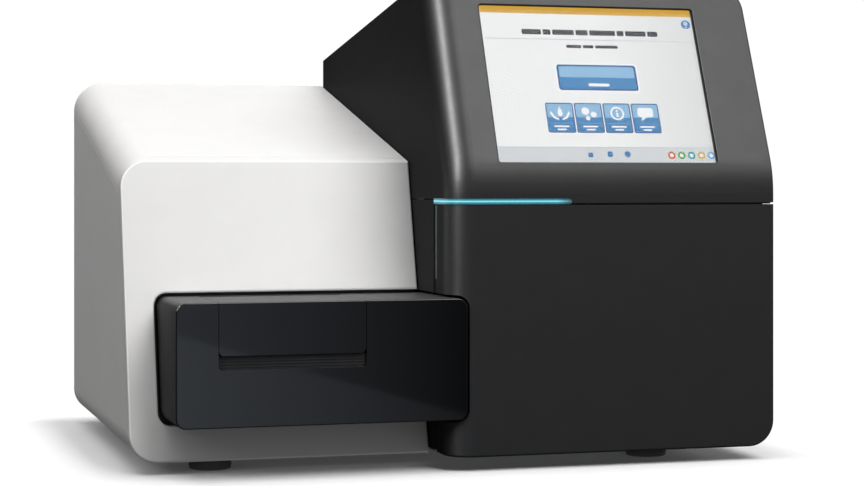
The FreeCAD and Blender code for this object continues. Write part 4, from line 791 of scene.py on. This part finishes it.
def make_rear_details():
    rear = box_mm("tower_rear_panel")[1].y
    on_panel = facing("Y", y=rear)
    with piece("screw_recesses", "black_plastic") as bm:
        for low, high in solids_of("cover_screws"):
            middle = (low + high) / 2
            add_plate(bm, cross(2.2, 0.5), facing("Y", middle.x, high.y, middle.z), 0.0, 0.06)
    low, high = box_mm("fan_frame")
    lathe_piece("fan_screws", "screw_steel", FAN_SCREW,
                [backward(x, rear, z) for x, z in corners(low.x, high.x, low.z, high.z, 9.5)])
    # frame round the mains inlet, with its two screws
    x0, x1, z0, z1 = PLUG_FRAME
    with piece("inlet_frame", "black_plastic") as bm:
        opening = rounded(x0 + 6.2, x1 - 6.2, z0 + 9.2, z1 - 9.2, 1.5)
        add_ring(bm, opening, rounded(*PLUG_FRAME, 3), on_panel, 0.0, 1.6)
    lathe_piece("inlet_screws", "screw_steel", INLET_SCREW,
                [backward((x0 + x1) / 2, rear + 1.6, z) for z in (z0 + 4.6, z1 - 4.6)])
    with piece("rating_plate", "machined_aluminium") as bm:
        add_plate(bm, rounded(*PLATE_PLACE, 2.5), on_panel, 0.0, 0.5)
        for x, z in corners(*PLATE_PLACE, 4):
            add_lathe(bm, RIVET, backward(x, rear, z))
    make_port_details(rear)
    make_switch_marks()
    # dust mesh behind the side vents
    y0, y1, z0, z1 = VENT_MESH
    place = facing("X", box_mm("tower_right_panel")[1].x - 3.7)
    with piece("side_vent_mesh", "black_anodised") as bm:
        for i in range(int((y1 - y0) / MESH_PITCH) + 1):
            y = y0 + MESH_PITCH * i
            add_plate(bm, rectangle(y, y + MESH_WIRE, z0, z1), place, 0.0, 0.25)
        for i in range(int((z1 - z0) / MESH_PITCH) + 1):
            z = z0 + MESH_PITCH * i
            add_plate(bm, rectangle(y0, y1, z, z + MESH_WIRE), place, 0.25, 0.5)


def make_port_details(rear):
    """Contact tongues in the data ports and two link lights."""
    low, high = box_mm("data_ports")
    tongue_top = low.z + 9.8
    with piece("port_tongues", "black_plastic") as bm:
        for x, wide in PORT_RECESSES:
            left = low.x + x
            add_block(bm, (left + 2, rear - 11.9, low.z + 8.0),
                      (left + wide - 2, rear - 3, tongue_top))
    gold = finish("gold_contact", srgb(214, 176, 92), 0.25, metallic=1.0, patch=300.0)
    with piece("port_contacts", gold) as bm:
        for x, wide in PORT_RECESSES:
            count = 4 if wide > 13 else 6
            for i in range(count):
                a = low.x + x + 2.7 + (wide - 5.4) / (count - 1) * i
                add_plate(bm, rectangle(a - 0.4, a + 0.4, -8.5, -3.2),
                          facing("Z", 0, rear, tongue_top), 0.0, 0.1)
    green = glowing("link_green", srgb(90, 200, 90), 0.8, "Z", low.z * MM, high.z * MM)
    lathe_piece("link_lights", green, LINK_LIGHT,
                [backward(high.x - x, high.y, high.z - 1.4) for x in (4.2, 11.4)], 16)


def make_switch_marks():
    """A plain bar and a ring on the rocker's two halves."""
    faces = [f for f in node("power_switch").data.polygons if f.normal.y > 0.8]
    middle = sum(f.center.z for f in faces) / len(faces)
    # the white marks emit a weak painted glow of their own; no lamp lights them
    white = glowing("mark_white", srgb(225, 226, 228), 0.25, "Z", 0.0, 0.1)
    with piece("switch_marks", white, "power_switch") as bm:
        for upper in (True, False):
            half = [f for f in faces if (f.center.z > middle) == upper]
            area = sum(f.area for f in half)
            centre = sum((f.center * f.area for f in half), Vector()) / area
            normal = sum((f.normal * f.area for f in half), Vector()).normalized()
            place = oriented(centre / MM, normal)
            if upper:
                add_plate(bm, rounded(-0.5, 0.5, -2.6, 2.6, 0.3),
                          lambda a, b, depth: place @ (Vector((a, b, depth)) * MM), 0.0, 0.06)
            else:
                add_band(bm, 1.9, 2.6, 0.0, 0.06, place)


# ---- reagent bay details
def make_bay_details():
    make_bottle_details()
    make_cartridge_details()
    make_chiller_door_details()
    make_handle_sleeves()
    make_manifold_details()
    make_syringe_details()
    low, high = box_mm("bay_liner")
    lamp = glowing("bay_lamp_white", srgb(235, 244, 255), 1.2, "X", low.x * MM, high.x * MM, 0.9)
    with piece("bay_lamp", lamp) as bm:
        add_block(bm, (low.x + 24, low.y + 2.5, high.z - 9),
                  (high.x - 24, low.y + 7.2, high.z - 3.2), 1.0)


def make_bottle_details():
    """Liquid, screw threads, blank label bands, level marks and seat rings."""
    label = finish("paper_label", srgb(238, 238, 234), 0.6, tone=0.02, grain=0.1)
    kinds = (("wash", srgb(120, 185, 225), 62.0, srgb(52, 120, 190)),
             ("waste", srgb(232, 176, 110), 24.0, srgb(214, 122, 48)))
    with (
        piece("bottle_level_marks", "black_plastic") as ticks,
        piece("bottle_labels", label) as bands,
        piece("bottle_threads", "bottle_plastic") as threads,
    ):
        for kind, (low, high) in zip(kinds, solids_of("fluid_bottles")):
            middle = (low + high) / 2
            radius = (high.x - low.x) / 2
            base = upright(middle.x, middle.y, low.z)
            at_base = facing("Z", middle.x, middle.y, low.z)
            # two turns of thread over 8 mm of the neck, and its collar
            turns = [(*polar(middle.x, middle.y, NECK_RADIUS + 0.4, 2 * math.pi * k / 24),
                      high.z - 11.5 + 8.0 * k / 48) for k in range(49)]
            add_pipe(threads, turns, 0.8, 6)
            add_band(threads, NECK_RADIUS - 0.1, NECK_RADIUS + 2.0, 115.2, 117.0, base)
            # a label band round the front half, 0.15 mm proud
            add_wrap(bands, radius, radius + 0.15, 90, 24, at_base, 38.0, 78.0)
            make_bottle_filling(kind, radius, base, at_base)
            for k in range(8):
                z = low.z + 82.0 + 1.6 * k
                half = (6.0 if k % 2 else 9.0) / radius * 28.6
                add_wrap(ticks, radius, radius + 0.12, half, 6, facing("Z", middle.x, middle.y, z),
                         0.0, 0.4)


def make_bottle_filling(kind, radius, base, at_base):
    """One bottle's liquid, the stripe on its label and the ring round its seat."""
    name, tint, level, colour = kind
    liquid = finish(name + "_liquid", tint, 0.08, tone=0.03, wear=0.02,
                    Transmission_Weight=0.7, IOR=1.33)
    with piece(name + "_liquid", liquid) as bm:
        add_band(bm, TUBE_RADIUS + 0.4, radius - 2.7, 3.2, 3.2 + level, base, 40)
    with piece(name + "_colour_mark", finish(name + "_mark", colour, 0.5, tone=0.04)) as bm:
        add_wrap(bm, radius + 0.12, radius + 0.3, 90, 24, at_base, 66.0, 74.0)
        add_band(bm, radius + 1.8, radius + 3.4, 16.0, 16.35, base, 40)


def well_places():
    """The middle of each of the cartridge's 24 wells, with its row."""
    low = box_mm("reagent_cartridge")[0]
    return [(low.x + WELL_START[0] + WELL_PITCH[0] * i, low.y + WELL_START[1] + WELL_PITCH[1] * j, j)
            for i in range(6) for j in range(4)]


def make_cartridge_details():
    """Pierced foil rings on the wells, ridges on the handle and two blank labels."""
    low, high = box_mm("reagent_cartridge")
    with piece("cartridge_foils", "machined_aluminium") as bm:
        for x, y, _ in well_places():
            add_band(bm, NEEDLE_RADIUS + 0.4, 5.4, 0.0, 0.15, upright(x, y, high.z), 24)
    with piece("cartridge_grip_ridges", "blue_plastic") as bm:
        for k in range(5):
            z = low.z + 20 + 5 * k
            add_block(bm, (low.x + 32, low.y - 0.8, z), (high.x - 32, low.y + 0.3, z + 2.2))
    with piece("cartridge_labels", "grey_plastic") as bm:
        for x0 in (low.x + 8, high.x - 26):
            add_plate(bm, rounded(x0, x0 + 18, low.z + 18, low.z + 48, 2),
                      facing("Y", y=low.y + 5), -0.12, 0.02)


def make_chiller_door_details():
    back = box_mm("reagent_chiller")[0].y - 3.3
    with piece("chiller_door_gasket", "foot_rubber", "chiller_door") as bm:
        add_ring(bm, rounded(*CHAMBER_DOORWAY, 2, 6), rounded(*CHAMBER_DOORWAY, 4, 2),
                 facing("Y", y=back), -0.2, 1.8)
    x, z = KNOB_PLACE
    front = box_mm("chiller_door")[0].y
    with piece("chiller_knob_cap", "black_anodised", "chiller_door") as bm:
        add_lathe(bm, KNOB_CAP, oriented((x, front, z), (0, -1, 0)))
        for cx, cz in disc(x, z, 9.0, 16):
            add_pipe(bm, [(cx, front + 0.6, cz), (cx, front + 5.4, cz)], 0.7, 6)


def make_handle_sleeves():
    """Ribbed rubber sleeves on the sipper handle's bar, either side of the lift block."""
    low, high = box_mm("sipper_handle")
    length = 56.0
    profile = [(5.0, 0.0)]
    for k in range(14):
        x = 4.0 * k
        if x < length - 3.5:
            profile += [(6.2, x + 0.4), (6.2, x + 2.6), (5.7, x + 3.0), (5.7, x + 3.6)]
    profile.append((5.0, length))
    with piece("handle_sleeves", "black_plastic", "sipper_handle") as bm:
        for start in (low.x + 15, high.x - 15 - length):
            bar = (start, low.y + SLEEVE_FROM_FRONT, low.z + SLEEVE_FROM_FRONT)
            add_lathe(bm, profile, oriented(bar, (1, 0, 0)), 24)


def make_manifold_details():
    """A barbed fitting with a short tube over each needle, and the plate's screws."""
    body = "sipper_manifold"
    low, high = box_mm(body)
    right = box_mm("reagent_cartridge")[1].x
    top = low.z + NEEDLE_REACH + MANIFOLD_THICKNESS
    lathe_piece("manifold_fittings", "grey_plastic", BARBED_FITTING,
                [upright(x, y, top) for x, y, _ in well_places()], 12, body)
    with piece("manifold_tube_ends", "bottle_plastic", body) as bm:
        for x, y, row in well_places():
            bend = 9.0 if row > 1 else -9.0
            add_pipe(bm, [(x, y, top + 6.0), (x, y, top + 10.0),
                          (x, y + bend * 0.3, top + 13.0), (x, y + bend, top + 14.0)], 1.1)
    screws = corners(low.x + 5, right + 6, low.y + 6, high.y - 6)
    lathe_piece("manifold_screws", "screw_steel", MANIFOLD_SCREW,
                [upright(x, y, top) for x, y in screws], 18, body)


def make_syringe_details():
    """Scale marks on the syringe barrels, their top fittings and the tubes to the pump."""
    low, high = box_mm("syringe_plungers")
    y = (low.y + high.y) / 2
    with (
        piece("syringe_tubes", "bottle_plastic") as tubes,
        piece("syringe_fittings", "grey_plastic") as fittings,
        piece("syringe_scale_marks", "bay_plastic") as marks,
    ):
        for x in (low.x + 15, high.x - 15):
            for k in range(15):
                add_wrap(marks, SYRINGE_RADIUS, SYRINGE_RADIUS + 0.12, 12 if k % 5 else 22, 6,
                         facing("Z", x, y, 140.0 + 4.5 * k), 0.0, 0.5)
            add_lathe(fittings, SYRINGE_FITTING, upright(x, y, 0))
            loop = []
            for k in range(13):
                angle = math.pi * k / 12
                loop.append((x, y + 14 - 14 * math.cos(angle), 232.0 + 10 * math.sin(angle)))
            add_pipe(tubes, [(x, y, 226.0)] + loop + [(x, y + 28, 229.5)], 1.3, 10)


# ---- flow cell details
def make_flow_cell_details():
    low, high = box_mm("flow_cell")
    level = facing("Z", z=high.z - 2.0)
    glass = finish("flow_cell_glass", srgb(214, 230, 236), 0.05, tone=0.02, wear=0.02)
    with piece("flow_cell_glass", glass, "stage") as bm:
        add_plate(bm, rounded(low.x, high.x, low.y, high.y, 1.6, 8.3), level, 0.02, 1.0)
    tint = finish("lane_tint", srgb(58, 96, 122), 0.1, patch=400.0, tone=0.2, wear=0.03)
    with piece("flow_cell_lanes", tint, "stage") as bm:
        for y in (low.y + 13.2, low.y + 17.6):
            add_plate(bm, rounded(low.x + 11, high.x - 11, y - 1.1, y + 1.1, 1.0), level,
                      1.0, 1.06)
    # socket screws of the carriage
    carriage_low, carriage_high = box_mm("stage_carriage")
    plate_top = box_mm("thermal_block")[0].z
    middle_y = (carriage_low.y + carriage_high.y) / 2
    lathe_piece("stage_screws", "black_anodised", STAGE_SCREW,
                [upright(x, y, plate_top) for x in (carriage_low.x + 7, carriage_high.x - 7)
                 for y in (carriage_low.y + 8, middle_y, carriage_high.y - 8)], 24, "stage")
    make_latch_details(high.z + 4.2)
    make_lens_details()
    # a scale along the stage, with its marks
    scale_x = carriage_high.x + 6
    base_top = box_mm("optics_base")[1].z
    with piece("stage_scale", "machined_aluminium") as bm:
        add_block(bm, (scale_x, carriage_low.y, base_top - 0.05),
                  (scale_x + 9, 88, base_top + 0.9), 0.3)
    with piece("stage_scale_marks", "black_plastic") as bm:
        for k in range(66):
            y = carriage_low.y + 5 + 5 * k
            end = scale_x + (4.5 if k % 5 else 7.0)
            add_plate(bm, rectangle(scale_x + 1, end, y, y + 0.5),
                      facing("Z", z=base_top + 0.9), 0.0, 0.05)


def make_latch_details(bar_top):
    """A finger pad with ridges on the latch, and a ring on its release button."""
    low, high = box_mm("flow_cell_latch")
    with piece("latch_finger_pad", "blue_plastic", "flow_cell_latch") as bm:
        add_block(bm, (low.x + 5, low.y + 4.5, bar_top - 0.05),
                  (high.x - 5, low.y + 9.5, bar_top + 1.2), 0.5)
        for k in range(3):
            y = low.y + 5.2 + 1.4 * k
            add_block(bm, (low.x + 7, y, bar_top + 1.1), (high.x - 7, y + 0.7, bar_top + 1.7),
                      0.15)
    low, high = box_mm("latch_release_button")
    middle = (low + high) / 2
    # the ring emits a weak painted glow of its own; no lamp lights it
    white = glowing("button_white", srgb(235, 240, 245), 0.3, "Z", 0, 0.1)
    with piece("button_ring", white, "latch_release_button") as bm:
        add_band(bm, 2.0, 2.9, 0.0, 0.08, upright(middle.x, middle.y, high.z))


def make_lens_details():
    """Knurled grip, colour band and front lens of the objective."""
    body = "objective_lens"
    low, high = box_mm(body)
    middle = (low + high) / 2
    radius = (high.x - low.x) / 2
    base = upright(middle.x, middle.y, low.z)
    with piece("objective_grip", "black_anodised", body) as bm:
        add_band(bm, radius - 0.5, radius + 0.8, 44.0, 56.0, base, 48)
        for x, y in disc(middle.x, middle.y, radius + 0.8, 48):
            add_pipe(bm, [(x, y, low.z + 45), (x, y, low.z + 55)], 0.5, 5)
    green = finish("band_green", srgb(60, 150, 84), 0.4, tone=0.05)
    with piece("objective_band", green, body) as bm:
        add_band(bm, 8.5, 9.15, 6.0, 8.5, base)
    coated = finish("coated_lens", srgb(40, 34, 76), 0.04, tone=0.2, wear=0.01)
    with piece("objective_front_lens", coated, body) as bm:
        add_lathe(bm, FRONT_LENS, base)


# ---- service details
def make_service_details():
    """Parts that show with a cover off or through a vent: fan disc, board, motor screws."""
    low, high = box_mm("fan_rotor")
    hub = backward((low.x + high.x) / 2, high.y, (low.z + high.z) / 2)
    with piece("fan_hub_disc", "grey_plastic", "fan_rotor") as bm:
        add_lathe(bm, [(16.0, 0), (16.0, 0.2), (0, 0.2)], hub, 36)
        add_band(bm, 17.0, 18.5, 0.0, 0.3, hub, 36)
    # small parts on the computer board
    low, high = box_mm("computer_board")
    board_top = low.z + BOARD_TOP
    with piece("board_chips", "black_plastic") as bm:
        for _ in range(26):
            x = random.uniform(low.x + 90, high.x - 12)
            y = random.uniform(low.y + 160, high.y - 10)
            wide = random.choice((3.0, 5.0, 8.0))
            add_block(bm, (x, y, board_top), (x + wide, y + wide * 0.7, board_top + 1.6), 0.2)
    lathe_piece("board_capacitors", "machined_aluminium", CAPACITOR,
                [upright(low.x + 14, low.y + 20 + 14 * k, board_top) for k in range(7)], 20)
    with piece("motor_screws", "screw_steel") as bm:
        for low, high in solids_of("lead_screw_motors"):
            for x, y in corners(low.x, high.x, low.y, high.y, 4):
                if high.z - low.z < 30:
                    place = oriented((x, y, low.z), (0, 0, -1))
                else:
                    place = oriented((x, low.y, low.z + (y - low.y)), (0, -1, 0))
                add_lathe(bm, MOTOR_SCREW, place, 16)


# ---- stage
def stage_mesh(name, bm, material, *unseen):
    """A mesh of the set, hidden from some kinds of rays."""
    made = mesh_object(name, bm, material)
    made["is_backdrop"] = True
    for rays in unseen:
        setattr(made, "visible_" + rays, False)


def stage_sphere(name, radius, material, *unseen):
    bm = bmesh.new()
    bmesh.ops.create_uvsphere(bm, u_segments=48, v_segments=24, radius=radius)
    stage_mesh(name, bm, material, *unseen)


def backdrop_material():
    shader = Shader("backdrop_white")
    return shader.show(shader.emission(
        shader.varied(0.4, BACKDROP_STRENGTH, BACKDROP_STRENGTH * 1.01)))


def floor_material():
    """Pale floor that takes soft shadows near the object and runs out to plain white."""
    shader = Shader("pale_floor")
    low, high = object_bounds()
    half_size = ((high[0] - low[0]) / 2, (high[1] - low[1]) / 2, 0)
    # distance outside the object's footprint
    beyond = shader.vector("SUBTRACT", shader.vector("ABSOLUTE", shader.place), half_size)
    outside = shader.vector("MAXIMUM", beyond)
    length = shader.add("ShaderNodeVectorMath", outside, operation="LENGTH").outputs["Value"]
    far = shader.spread(length, 0.0, 1.0, *FLOOR_FADE)
    shader.dress(
        Base_Color=shader.blend(shader.noise(3.0), (0.93, 0.93, 0.93, 1), (0.95, 0.95, 0.95, 1)),
        Roughness=0.7, Specular_IOR_Level=0.0, Emission_Color=WHITE, Emission_Strength=0.02)
    return shader.show(shader.mixed(far, shader.surface.outputs[0],
                                    shader.emission(BACKDROP_STRENGTH)))


def room_material():
    """A dim room: dark below and behind, lighter above."""
    shader = Shader("room_shade")
    rise = shader.along("Z", -0.1 * ROOM_RADIUS, ROOM_RADIUS)
    front = shader.along("Y", 0.25 * ROOM_RADIUS, -0.45 * ROOM_RADIUS)
    return shader.show(shader.emission(shader.math(
        "MULTIPLY", shader.spread(rise, 0.14, 0.75, 0.0, 1.0),
        shader.spread(front, 0.15, 1.0, 0.0, 1.0))))


def card_material():
    """The card's shade: it falls off to the right and steps down across a diagonal line."""
    shader = Shader("card_shade")
    across = shader.axis(shader.place, "X")
    fall = shader.spread(across, 0.62, 0.05, *CARD_X)
    height = shader.math("MULTIPLY_ADD", across, CARD_SLOPE, shader.axis(shader.place, "Z"))
    step = shader.spread(height, 0.32, 0.0, CARD_LINE - 0.6 * MM, CARD_LINE + 0.6 * MM)
    extra = shader.math("MULTIPLY", step, shader.spread(across, 1.0, 0.5, *CARD_X))
    return shader.show(shader.emission(shader.math("ADD", fall, extra), (0.80, 0.88, 1.0, 1)))


def make_stage():
    """Floor and backdrop, and a room and a card that only reflections see."""
    bm = bmesh.new()
    bmesh.ops.create_circle(bm, cap_ends=True, segments=96, radius=FLOOR_RADIUS)
    stage_mesh("floor", bm, floor_material(), "diffuse", "glossy")
    stage_sphere("backdrop", DOME_RADIUS, backdrop_material(), "diffuse", "glossy",
                 "transmission", "shadow")
    unseen = ("camera", "diffuse", "transmission", "shadow")
    stage_sphere("reflection_room", ROOM_RADIUS, room_material(), *unseen)
    bm = bmesh.new()
    outline = rectangle(CARD_X[0] - CARD_EDGE, CARD_X[1] + CARD_EDGE,
                        CARD_Z[0] - CARD_EDGE, CARD_Z[1] + CARD_EDGE)
    bm.faces.new([bm.verts.new((x, CARD_Y, z)) for x, z in outline])
    stage_mesh("reflector_card", bm, card_material(), *unseen)


def area_light(name, place, target, size, energy, unseen=None):
    light = bpy.data.lights.new(name, "AREA")
    light.shape = "RECTANGLE"
    light.size, light.size_y = size
    light.energy = energy
    made = link_object(name, light)
    made.location = place
    aim = Vector(target) - Vector(place)
    made.rotation_euler = aim.to_track_quat("-Z", "Y").to_euler()
    made.visible_camera = False
    if unseen:
        setattr(made, "visible_" + unseen, False)


def make_lights():
    world = bpy.data.worlds.new("studio")
    bpy.context.scene.world = world
    world.use_nodes = True
    back = world.node_tree.nodes["Background"]
    back.inputs["Color"].default_value = WHITE
    back.inputs["Strength"].default_value = WORLD_STRENGTH
    area_light("top_softbox", (-0.3, -0.6, 3.0), (0, -0.1, 0.2), (3.6, 2.6), 70)
    area_light("key_softbox", (1.1, -2.4, 2.5), (0, -0.1, 0.3), (2.2, 1.6), 66)
    area_light("left_fill", (-3.2, -0.3, 2.2), (-0.3, 0, 0.2), (1.6, 1.6), 16, "glossy")
    area_light("rear_fill", (1.0, 3.8, 0.7), (0, 0.3, 0.25), (2.4, 1.2), 70, "glossy")
    area_light("rear_card", (1.3, 3.9, 0.9), (0.1, 0.3, 0.25), (3.4, 3.0), 19, "diffuse")
    area_light("right_fill", (3.9, 0.5, 0.9), (0.3, 0, 0.25), (1.8, 1.2), 38)
    area_light("corner_strip", (-2.7, -1.45, 2.1), (0, -0.25, 0.35), (0.35, 2.4), 250, "diffuse")


def make_camera():
    camera = bpy.data.cameras.new("camera")
    camera.sensor_width = CAMERA_SENSOR
    camera.lens = CAMERA_LENS
    camera.shift_x, camera.shift_y = CAMERA_SHIFT
    camera.clip_end = 100
    made = link_object("camera", camera)
    made.location = CAMERA_PLACE
    made.rotation_euler = CAMERA_TURN
    bpy.context.scene.camera = made


with open("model.json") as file:
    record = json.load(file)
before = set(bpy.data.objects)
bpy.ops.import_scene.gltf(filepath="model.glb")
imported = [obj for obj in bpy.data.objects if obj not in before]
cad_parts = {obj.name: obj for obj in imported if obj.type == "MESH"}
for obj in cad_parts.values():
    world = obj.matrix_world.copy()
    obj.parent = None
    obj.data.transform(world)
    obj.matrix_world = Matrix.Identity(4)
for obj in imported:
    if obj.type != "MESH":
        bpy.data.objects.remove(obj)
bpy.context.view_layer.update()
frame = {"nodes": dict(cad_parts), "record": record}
random.seed(SEED)
slots = make_finishes()
dress_nodes()
display = Display(node("lcd_module"))
make_screen_contents()
make_front_details()
make_rear_details()
make_bay_details()
make_flow_cell_details()
make_service_details()
make_stage()
make_lights()
make_camera()
bpy.context.scene.view_settings.view_transform = "Standard"
